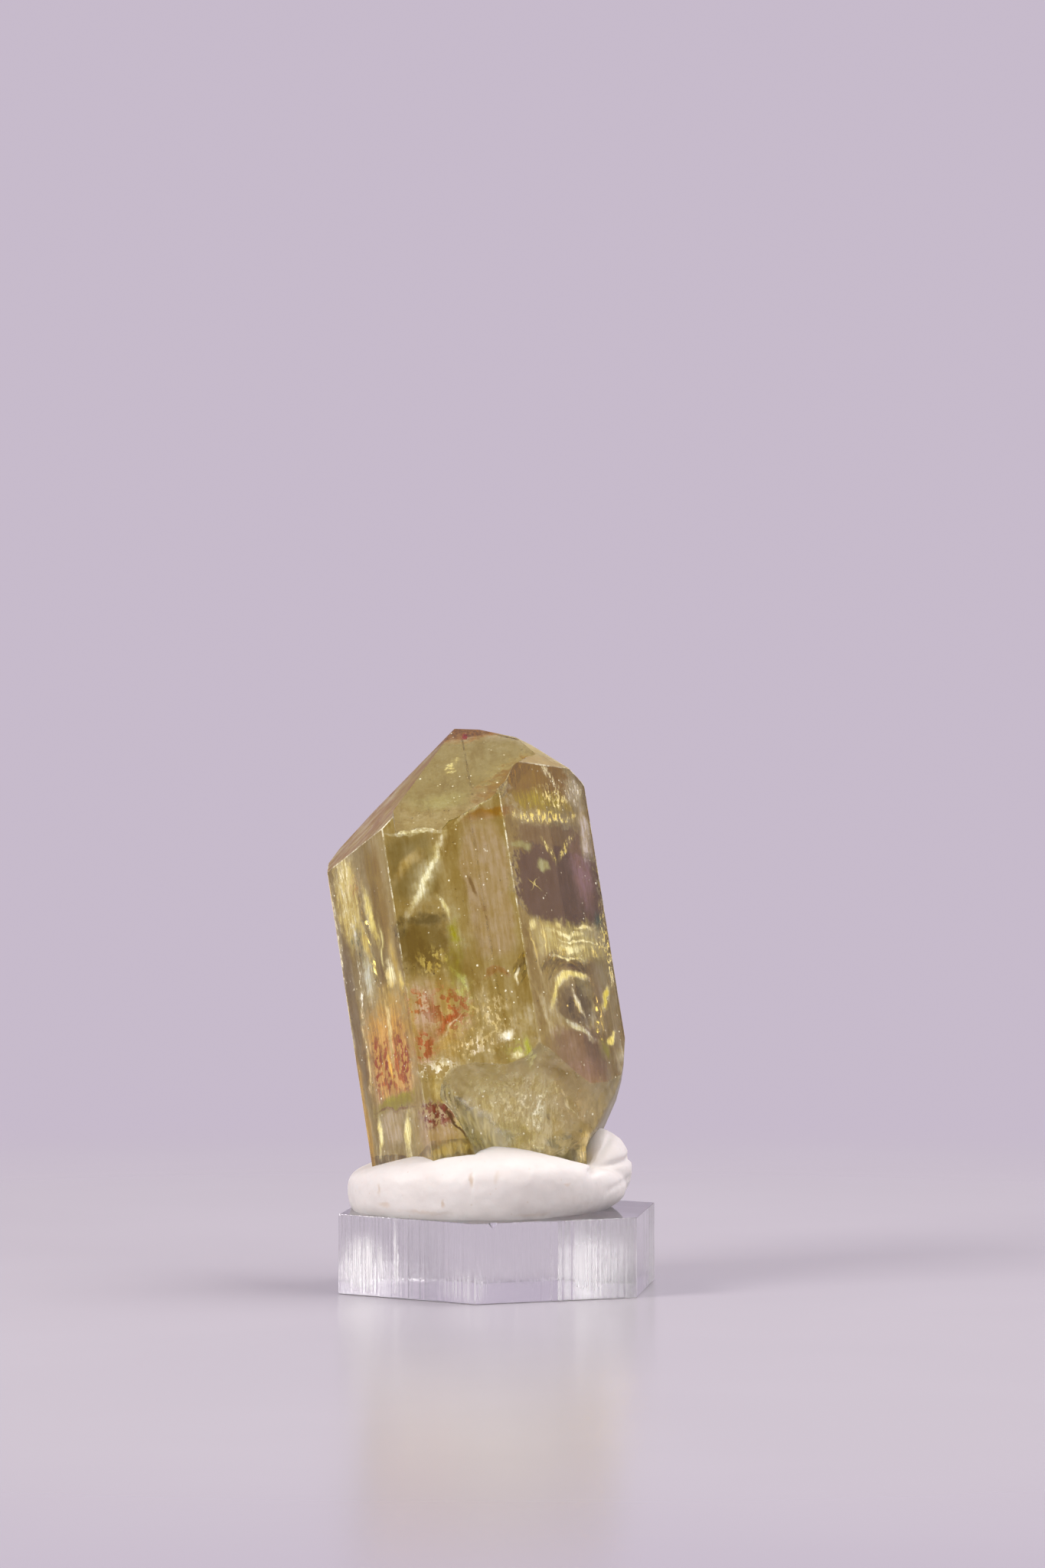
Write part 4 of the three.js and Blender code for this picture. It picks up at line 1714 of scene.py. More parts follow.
@dataclass(frozen=True)
class Lamp:
    """A square soft light aimed at the crystal.

    Attributes:
        name: Its name.
        place: Its middle, in metres.
        power: Power in watts.
        colour: Colour of its light.
        mirrored: Whether it shows in mirror images, such as the floor's.
        size: Its width in metres.
        aim: Height on the object's axis that it is aimed at.
    """

    name: str
    place: tuple[float, float, float]
    power: float
    colour: Colour
    mirrored: bool = True
    size: float = 0.30
    aim: float = 0.022

    def build(self) -> None:
        """Hangs the lamp."""
        data = bpy.data.lights.new(self.name, "AREA")
        data.shape = "SQUARE"
        data.size = self.size
        data.energy = self.power
        data.color = self.colour
        lamp = bpy.data.objects.new(self.name, data)
        lamp.visible_glossy = self.mirrored
        lamp.location = self.place
        way = Vector((0.0, 0.0, self.aim)) - Vector(self.place)
        lamp.rotation_euler = way.to_track_quat("-Z", "Y").to_euler()
        bpy.context.scene.collection.objects.link(lamp)


@dataclass
class Studio:
    """Floor, soft lights, backdrop colour and camera.

    Attributes:
        backdrop: Colour of the surroundings.
        dim: Their colour on the camera's side.
        fade: How far back, from -1 to 1, the dim side runs into the backdrop.
        lamps: The soft lights.
        floor_radius: Radius of the floor, in metres.
        floor_gap: How far it lies below the block, so that the two faces don't meet.
        lens: Focal length of the camera, in millimetres, for a frame of the given width.
        eye: Place of the camera, in metres.
        dip: How far the camera looks down, in degrees.
    """

    backdrop: Colour = (0.57, 0.495, 0.60)
    dim: Colour = (0.27, 0.25, 0.26)
    fade: Pair = (-0.1, 0.8)
    lamps: tuple[Lamp, ...] = (
        Lamp("key", (-0.46, -0.36, 0.40), 5.0, (1.0, 0.965, 0.93)),
        Lamp("top", (0.20, 0.12, 0.55), 2.5, (1.0, 0.98, 0.96)),
        Lamp("fill", (0.50, -0.30, 0.20), 2.0, (1.0, 0.97, 0.95), mirrored=False),
    )
    floor_radius: float = 0.22
    floor_gap: float = 0.00003
    lens: Pair = (129.0, 36.0)
    eye: tuple[float, float, float] = (0.05811, -0.45067, 0.0467)
    dip: float = 0.756

    def build(self) -> None:
        """Sets up the stage."""
        self._floor()
        self._surroundings()
        self._camera()
        for lamp in self.lamps:
            lamp.build()
        bpy.context.scene.view_settings.view_transform = "Standard"

    def _floor(self) -> None:
        """The pale floor."""
        bpy.ops.object.select_all(action="DESELECT")
        bpy.ops.mesh.primitive_circle_add(vertices=96, radius=self.floor_radius, fill_type="NGON",
                                          location=(0.0, 0.0, -self.floor_gap))
        floor = added("floor")
        floor.data.materials.append(FloorFinish().build())

    def _surroundings(self) -> None:
        """Pale surroundings, dimmer on the side from which the object is looked at."""
        world = bpy.data.worlds.new("studio")
        world.use_nodes = True
        tree = world.node_tree
        background = tree.nodes["Background"]
        heading = tree.nodes.new("ShaderNodeTexCoord")
        split = tree.nodes.new("ShaderNodeSeparateXYZ")
        fade = tree.nodes.new("ShaderNodeMapRange")
        fade.interpolation_type = "SMOOTHSTEP"
        fade.inputs["From Min"].default_value, fade.inputs["From Max"].default_value = self.fade
        mix = tree.nodes.new("ShaderNodeMix")
        mix.data_type = "RGBA"
        mix.inputs[6].default_value = (*self.dim, 1.0)
        mix.inputs[7].default_value = (*self.backdrop, 1.0)
        tree.links.new(heading.outputs["Generated"], split.inputs[0])
        tree.links.new(split.outputs["Y"], fade.inputs["Value"])
        tree.links.new(fade.outputs[0], mix.inputs["Factor"])
        tree.links.new(mix.outputs[2], background.inputs["Color"])
        bpy.context.scene.world = world
        render = bpy.context.scene.cycles
        render.max_bounces = 18
        render.glossy_bounces = 10
        render.transmission_bounces = 14
        render.transparent_max_bounces = 10

    def _camera(self) -> None:
        """The camera at the photograph's viewing angle."""
        data = bpy.data.cameras.new("camera")
        data.lens, data.sensor_width = self.lens
        camera = bpy.data.objects.new("camera", data)
        camera.location = self.eye
        camera.rotation_euler = (math.radians(90.0 - self.dip), 0.0, math.radians(SPECIMEN_TURN))
        bpy.context.scene.collection.objects.link(camera)
        bpy.context.scene.camera = camera


# What the photograph shows in the crystal, face by face


FRONT, RIGHT, LEFT = PrismSide.FRONT, PrismSide.RIGHT, PrismSide.LEFT
spot, stroke = TintPatch, TintPatch.stroke

TIP_MARKS = (
    spot(FRONT, 0.2, 31.6, (7.5, 5.5), (0.56, 0.49, 0.15), thick=7.0, depth=8.0, edge=0.2),
    spot(FRONT, 0.8, 36.4, (4.8, 1.2), (0.32, 0.13, 0.0), 0.95, veil=0.4, depth=12.5, ragged=0.8, thick=3.5),
    spot(FRONT, 0.55, 35.9, (0.45, 0.5), (0.16, 0.01, 0.001), veil=0.9, depth=12.4, thick=1.4, ragged=0.6),
    spot(LEFT, -6.4, 32.6, (0.5, 0.35), (0.08, 0.01, 0.01), 0.95, veil=0.9, depth=7.9, ragged=0.5),
    spot(FRONT, -2.0, 29.4, (2.6, 1.4), (0.74, 0.80, 0.40), 0.75, veil=0.15, depth=3.5, ragged=0.6,
         edge=0.8),
    spot(FRONT, 1.8, 30.0, (1.6, 2.2), (0.80, 0.50, 0.36), 0.7, depth=3.0, ragged=0.6, edge=0.9),
    spot(FRONT, 3.4, 31.6, (1.4, 2.0), (0.80, 0.80, 0.34), 0.7, veil=0.2, depth=4.5, thick=4.0, ragged=0.6,
         edge=0.8),
    stroke(FRONT, (-0.4, 34.0), (-0.9, 31.8), 0.35, (0.90, 0.85, 0.40), veil=0.4, depth=7.5, thick=4.0,
           speckle=0.8),
    spot(FRONT, 2.0, 26.9, (2.4, 0.55), (0.42, 0.20, 0.003), veil=0.25, ragged=0.6, outline=Outline.BOXY),
    stroke(FRONT, (-6.8, 26.5), (-1.0, 26.2), 0.22, (0.90, 0.90, 0.66), veil=0.7, speckle=0.5, ragged=0.5),
    stroke(FRONT, (-1.2, 26.5), (2.8, 28.3), 0.22, (0.90, 0.88, 0.60), veil=0.6, speckle=0.6, ragged=0.5),
    stroke(FRONT, (2.8, 28.2), (5.8, 32.2), 0.3, (0.93, 0.90, 0.66), veil=0.8, speckle=0.5, ragged=0.6,
           depth=2.5, thick=5.0),
    stroke(FRONT, (5.6, 32.0), (9.0, 32.8), 0.3, (0.93, 0.86, 0.56), veil=0.7, speckle=0.7, ragged=0.6,
           depth=3.5, thick=5.0),
)

FRONT_MARKS = (
    spot(FRONT, -4.7, 23.6, (2.2, 3.0), (0.50, 0.48, 0.34), edge=0.35, outline=Outline.BOXY),
    stroke(FRONT, (-1.75, 26.1), (-5.9, 19.0), 0.36, (0.96, 0.94, 0.70), veil=0.8, ragged=0.8, edge=0.9),
    stroke(FRONT, (-2.4, 25.2), (-4.9, 20.6), 0.85, (0.90, 0.88, 0.60), veil=0.35, ragged=0.6, edge=0.9),
    stroke(FRONT, (-3.9, 24.9), (-6.4, 22.6), 0.5, (0.95, 0.80, 0.40), veil=0.2, ragged=0.5, edge=0.9),
    stroke(FRONT, (-3.2, 21.0), (-2.5, 18.9), 0.26, (0.96, 0.92, 0.50), veil=0.55, ragged=0.7, edge=0.9),
    spot(FRONT, -4.9, 17.2, (2.7, 2.6), (0.24, 0.17, 0.015), 0.95, ragged=0.55, edge=0.5),
    stroke(FRONT, (-6.3, 19.4), (-2.8, 19.0), 0.40, (0.14, 0.11, 0.03), 0.95, ragged=0.6, edge=0.7),
    spot(FRONT, -6.5, 18.7, (0.5, 0.8), (0.06, 0.05, 0.02), 0.9, ragged=0.9, speckle=0.5, edge=0.8),
    # Painted glints: scattered golden glints
    spot(FRONT, -4.4, 15.6, (1.7, 1.2), (0.96, 0.80, 0.22), 0.8, veil=0.5, speckle=1.0, ragged=0.8,
         edge=0.9),
    spot(FRONT, -2.05, 17.4, (0.62, 2.0), (0.47, 0.48, 0.003), veil=0.32, ragged=0.7, edge=0.9),
    spot(FRONT, -2.5, 15.0, (0.9, 1.6), (0.52, 0.50, 0.02), 0.9, ragged=0.6, edge=0.8),
    spot(FRONT, -2.3, 12.9, (0.8, 1.5), (0.66, 0.80, 0.24), 0.9, veil=0.45, ragged=0.9, edge=0.7,
         speckle=0.4),
    spot(FRONT, 0.9, 20.8, (1.9, 6.0), (0.76, 0.62, 0.50), 0.95, veil=0.16, edge=0.2, outline=Outline.BOXY),
    stroke(FRONT, (-0.35, 22.2), (0.05, 20.3), 0.25, (0.28, 0.16, 0.07), 0.9),
    stroke(FRONT, (0.2, 20.2), (0.3, 18.0), 0.3, (0.45, 0.28, 0.14), 0.8, speckle=0.8, edge=0.9),
    spot(FRONT, 0.6, 12.9, (1.2, 0.30), (0.42, 0.17, 0.02), 0.8, veil=0.3, ragged=0.8, outline=Outline.ARCH),
    spot(FRONT, -0.9, 10.2, (2.6, 2.6), (0.96, 0.82, 0.50), 0.9, veil=0.55, ragged=0.7, speckle=0.7,
         edge=0.8),
    spot(FRONT, -2.2, 8.6, (2.4, 1.0), (0.97, 0.88, 0.72), 0.9, veil=0.75, ragged=0.7, speckle=0.9,
         edge=0.8),
    spot(FRONT, 1.3, 7.5, (1.5, 1.1), (0.56, 0.62, 0.02), 0.9, veil=0.45, ragged=1.0, edge=0.9, thick=5.0,
         speckle=0.8, lacy=True),
    stroke(FRONT, (2.2, 8.6), (2.1, 5.4), 0.36, (0.58, 0.68, 0.03), 0.95, veil=0.5, ragged=0.9, edge=0.9,
           thick=5.0),
    spot(FRONT, 1.2, 7.2, (0.6, 0.3), (0.98, 0.95, 0.60), 0.9, veil=0.8, ragged=0.9, edge=0.9),
    # Painted glints: two small white glints
    spot(FRONT, 0.75, 8.95, (0.60, 0.50), (0.97, 0.98, 0.98), veil=1.0, ragged=0.8, edge=0.8),
    spot(FRONT, 2.35, 13.5, (0.18, 0.65), (0.97, 0.96, 0.92), veil=0.9, ragged=0.5, edge=0.7),
)

HOLLOW_MARKS = (
    spot(FRONT, 0.8, 2.4, (6.2, 4.9), (0.86, 0.74, 0.40), 0.75, veil=0.46, depth=2.5, thick=6.0, edge=0.5),
    spot(FRONT, 0.4, 3.4, (4.8, 3.2), (0.99, 0.96, 0.78), 0.7, veil=0.8, depth=2.5, thick=6.0, speckle=1.0,
         ragged=0.8, edge=0.9),
    stroke(FRONT, (-5.6, 7.0), (-3.4, 0.8), 0.9, (0.86, 0.74, 0.36), 0.85, veil=0.55, ragged=0.5, depth=1.0,
           thick=3.0, edge=0.7),
    spot(FRONT, -1.6, 5.2, (2.6, 1.2), (0.90, 0.84, 0.40), 0.8, veil=0.4, ragged=0.8, depth=1.5, thick=4.0,
         edge=0.9),
    spot(FRONT, 6.6, 3.0, (1.7, 4.8), (0.62, 0.38, 0.09), 0.8, veil=0.4, depth=4.0, thick=8.0, satin=0.5),
    # Painted glint: a white streak in the hollow
    stroke(FRONT, (2.5, 5.2), (1.6, 0.7), 0.55, (0.92, 0.98, 0.96), veil=0.95, speckle=0.8, ragged=0.6,
           depth=2.0, thick=5.0, lacy=True),
    spot(FRONT, -4.0, 2.6, (1.3, 2.0), (0.62, 0.56, 0.06), 0.85, veil=0.4, ragged=0.9, edge=0.9, depth=2.0,
         thick=5.0),
    spot(FRONT, -1.6, 1.2, (3.0, 1.4), (0.62, 0.58, 0.03), 0.9, veil=0.3, ragged=0.8, edge=0.8, depth=2.0,
         thick=5.0),
    spot(FRONT, 4.9, 2.4, (2.1, 3.0), (0.66, 0.40, 0.16), 0.85, veil=0.4, ragged=0.8, edge=0.8, depth=3.0,
         thick=6.0),
    # Painted glints: thin white streaks in the hollow
    stroke(FRONT, (1.4, 5.8), (0.9, 3.2), 0.22, (0.98, 0.96, 0.80), 0.9, veil=0.8, ragged=0.9, edge=0.9,
           depth=2.0, thick=5.0, speckle=0.6),
    stroke(FRONT, (3.6, 6.4), (3.3, 2.2), 0.18, (0.98, 0.92, 0.72), 0.9, veil=0.8, ragged=0.9, edge=0.9,
           depth=2.5, thick=5.0, speckle=0.6),
    stroke(FRONT, (0.2, 1.4), (2.6, -0.4), 0.20, (0.98, 0.94, 0.62), 0.9, veil=0.8, ragged=0.9, edge=0.9,
           depth=2.5, thick=5.0, speckle=0.6),
    stroke(FRONT, (3.4, 5.8), (5.6, 1.2), 0.22, (0.92, 0.85, 0.66), veil=0.6, ragged=0.6, edge=0.8,
           depth=3.0, thick=6.0),
    stroke(FRONT, (-4.8, 5.0), (-0.5, -0.8), 1.2, (0.74, 0.62, 0.26), 0.85, veil=0.6, ragged=0.6, edge=0.8,
           depth=2.0, thick=5.0, satin=0.6),
    spot(FRONT, 6.0, 5.0, (2.4, 1.5), (0.46, 0.28, 0.20), 0.85, veil=0.3, ragged=0.6, depth=4.0, thick=8.0),
    stroke(FRONT, (3.8, 5.6), (4.3, 1.4), 0.26, (0.44, 0.22, 0.07), 0.85, veil=0.5, ragged=0.8, edge=0.8,
           depth=3.0, thick=6.0, lacy=True, speckle=0.5),
    stroke(FRONT, (5.6, 5.2), (5.3, 1.0), 0.40, (0.58, 0.30, 0.06), 0.85, veil=0.5, ragged=0.8, edge=0.8,
           depth=4.0, thick=7.0),
    stroke(FRONT, (5.9, 1.7), (4.2, -2.2), 0.85, (1.0, 0.66, 0.16), veil=0.9, ragged=0.3, depth=3.0,
           thick=7.0),
)

LEFT_MARKS = (
    spot(LEFT, 3.7, 22.0, (1.8, 5.4), (0.40, 0.26, 0.008), 0.95, veil=0.2, ragged=0.15,
         outline=Outline.BOXY),
    spot(LEFT, -1.7, 22.8, (2.2, 4.6), (0.99, 0.84, 0.30), 0.95, veil=0.5, ragged=0.6),
    spot(LEFT, -1.9, 23.6, (1.9, 4.0), (0.98, 0.90, 0.56), 0.9, veil=0.75, ragged=0.6, speckle=0.9),
    spot(LEFT, 0.3, 23.7, (1.5, 0.9), (0.60, 0.28, 0.02), 0.8, veil=0.5, ragged=0.9, speckle=0.8, edge=0.8),
    stroke(LEFT, (1.3, 23.5), (2.8, 17.5), 0.6, (0.99, 0.88, 0.30), veil=0.65, ragged=0.7, edge=0.9),
    stroke(LEFT, (-0.4, 21.5), (1.0, 16.5), 0.8, (0.97, 0.80, 0.22), veil=0.5, ragged=0.7, edge=0.9),
    stroke(LEFT, (4.8, 19.0), (5.4, 13.8), 0.6, (0.97, 0.76, 0.20), veil=0.35, ragged=0.6, edge=0.9),
    spot(LEFT, -1.0, 18.8, (1.3, 1.7), (0.10, 0.12, 0.05), 0.9, ragged=0.9, speckle=0.6, edge=0.8),
    # Painted highlight: a pale blue-white spot
    spot(LEFT, -0.1, 16.0, (1.2, 2.2), (0.84, 0.92, 0.90), 0.85, veil=0.6, ragged=0.8, edge=0.8),
    # Painted glint, golden
    spot(LEFT, 4.0, 15.6, (0.9, 1.2), (1.0, 0.95, 0.62), veil=0.9, ragged=0.9, edge=0.9),
    stroke(LEFT, (2.6, 17.8), (2.2, 11.0), 0.35, (0.36, 0.22, 0.01), 0.9, ragged=0.5, edge=0.8),
    stroke(LEFT, (3.2, 20.6), (2.9, 16.0), 0.30, (0.98, 0.92, 0.42), 0.9, veil=0.6, ragged=0.8, edge=0.9),
    # Painted glint, golden
    spot(LEFT, 5.7, 14.6, (0.6, 1.3), (0.98, 0.84, 0.34), veil=0.7, ragged=0.8, edge=0.9),
    spot(LEFT, -3.6, 13.5, (1.0, 7.0), (0.34, 0.25, 0.16), 0.9, edge=0.3, outline=Outline.BOXY),
    stroke(LEFT, (-1.1, 21.3), (-2.9, 6.9), 0.26, (1.0, 0.98, 0.88), veil=0.95, ragged=0.9, edge=0.8,
           speckle=0.8),
    stroke(LEFT, (-4.2, 24.6), (-5.0, 8.0), 0.28, (1.0, 0.96, 0.80), veil=0.95, ragged=0.8, edge=0.8,
           speckle=0.85),
    stroke(LEFT, (-2.6, 24.6), (-1.3, 19.4), 0.30, (1.0, 0.96, 0.74), veil=0.9, ragged=0.8, edge=0.8,
           speckle=0.7),
    spot(LEFT, 2.6, 12.8, (3.6, 2.8), (0.90, 0.66, 0.16), 0.9, veil=0.35, ragged=0.6, edge=0.8),
    spot(LEFT, 1.7, 9.4, (4.4, 4.4), (0.94, 0.51, 0.10), 0.9, veil=0.52, ragged=0.4, outline=Outline.BOXY),
    spot(LEFT, 1.5, 8.6, (4.4, 3.2), (0.40, 0.085, 0.0), 0.9, veil=0.9, speckle=0.97, ragged=0.5, lacy=True,
         outline=Outline.BOXY),
    stroke(LEFT, (-0.3, 12.4), (-1.5, 6.6), 0.75, (0.27, 0.045, 0.0), 0.95, veil=1.0, speckle=0.8,
           ragged=0.6, lacy=True),
    stroke(LEFT, (0.9, 10.8), (0.8, 6.0), 0.8, (0.27, 0.045, 0.0), 0.95, veil=1.0, speckle=0.8, ragged=0.6,
           lacy=True),
    stroke(LEFT, (4.6, 12.4), (3.7, 5.8), 1.15, (0.29, 0.05, 0.0), 0.95, veil=1.0, speckle=0.85, ragged=0.6,
           lacy=True),
    stroke(LEFT, (2.4, 14.9), (2.2, 8.2), 0.5, (0.98, 0.80, 0.40), 0.9, veil=0.75, ragged=0.7, edge=0.8),
    stroke(LEFT, (1.6, 10.2), (1.3, 7.2), 0.42, (1.0, 0.62, 0.12), 0.95, veil=0.95, ragged=0.5, edge=0.7),
    stroke(LEFT, (-2.2, 12.0), (-2.5, 7.0), 0.3, (0.97, 0.80, 0.44), 0.9, veil=0.7, ragged=0.7, edge=0.8),
    spot(LEFT, 1.4, 5.6, (4.2, 0.7), (0.50, 0.46, 0.01), 0.95, veil=0.25, ragged=0.6, outline=Outline.BOXY),
    stroke(LEFT, (-2.9, 5.6), (4.8, 4.6), 0.14, (0.26, 0.11, 0.02), 0.95, veil=0.4, ragged=0.3),
    spot(LEFT, 0.4, 3.6, (2.0, 1.6), (0.84, 0.72, 0.58), 0.9, veil=0.28, ragged=0.4, edge=0.4,
         outline=Outline.BOXY),
    stroke(LEFT, (-1.8, 5.2), (-2.9, 1.6), 0.50, (0.98, 0.90, 0.44), veil=0.8, ragged=0.7, edge=0.8),
    stroke(LEFT, (3.4, 4.9), (2.2, 0.6), 0.65, (0.98, 0.90, 0.44), veil=0.8, ragged=0.7, edge=0.8),
    spot(LEFT, -4.6, 4.6, (0.9, 6.6), (0.72, 0.42, 0.04), 0.9, veil=0.35, edge=0.4),
)

RUST_MARKS = (
    spot(FRONT, -5.0, 10.6, (2.8, 3.8), (0.92, 0.64, 0.20), 0.8, veil=0.35, ragged=0.5, edge=0.7),
    spot(FRONT, -5.5, 11.9, (1.0, 2.6), (0.86, 0.64, 0.62), 0.85, veil=0.5, ragged=0.5, edge=0.8),
    spot(FRONT, -6.0, 8.9, (1.2, 1.9), (0.34, 0.07, 0.004), 0.95, veil=0.95, speckle=0.7, ragged=0.7,
         lacy=True),
    spot(FRONT, -3.7, 11.8, (2.5, 2.5), (0.34, 0.075, 0.0), 0.9, veil=0.9, speckle=0.97, ragged=0.6,
         lacy=True),
    spot(FRONT, -6.2, 12.6, (1.2, 1.8), (0.40, 0.11, 0.0), 0.9, veil=0.9, speckle=1.0, ragged=0.7,
         lacy=True),
    stroke(FRONT, (-5.2, 9.7), (-2.4, 12.3), 0.30, (0.38, 0.07, 0.004), 0.9, veil=0.8, ragged=0.9, edge=0.8),
    stroke(FRONT, (-5.0, 9.4), (-2.3, 11.8), 0.09, (0.92, 0.80, 0.58), 0.6, veil=0.6, ragged=0.7, edge=0.8),
    spot(FRONT, -5.3, 7.1, (2.0, 0.9), (0.98, 0.95, 0.86), 0.95, veil=0.9, speckle=0.95, ragged=0.8,
         edge=0.8, lacy=True),
    spot(FRONT, -5.9, 2.6, (2.0, 2.0), (0.78, 0.60, 0.48), 0.85, veil=0.34, ragged=0.4,
         outline=Outline.BOXY),
    spot(FRONT, -5.8, 3.8, (2.3, 1.2), (0.13, 0.016, 0.004), 0.95, veil=0.9, speckle=0.95, ragged=0.5,
         lacy=True),
    spot(FRONT, -5.8, 3.7, (2.2, 1.3), (0.20, 0.03, 0.01), 0.85, veil=0.85, speckle=1.0, ragged=0.6),
    stroke(FRONT, (-5.2, 4.4), (-3.5, 0.6), 0.16, (0.08, 0.03, 0.003), 0.95, veil=0.6, ragged=0.4),
    spot(FRONT, -5.6, 0.5, (2.8, 0.7), (0.68, 0.52, 0.16), 0.9, veil=0.5, ragged=0.7, edge=0.9),
)

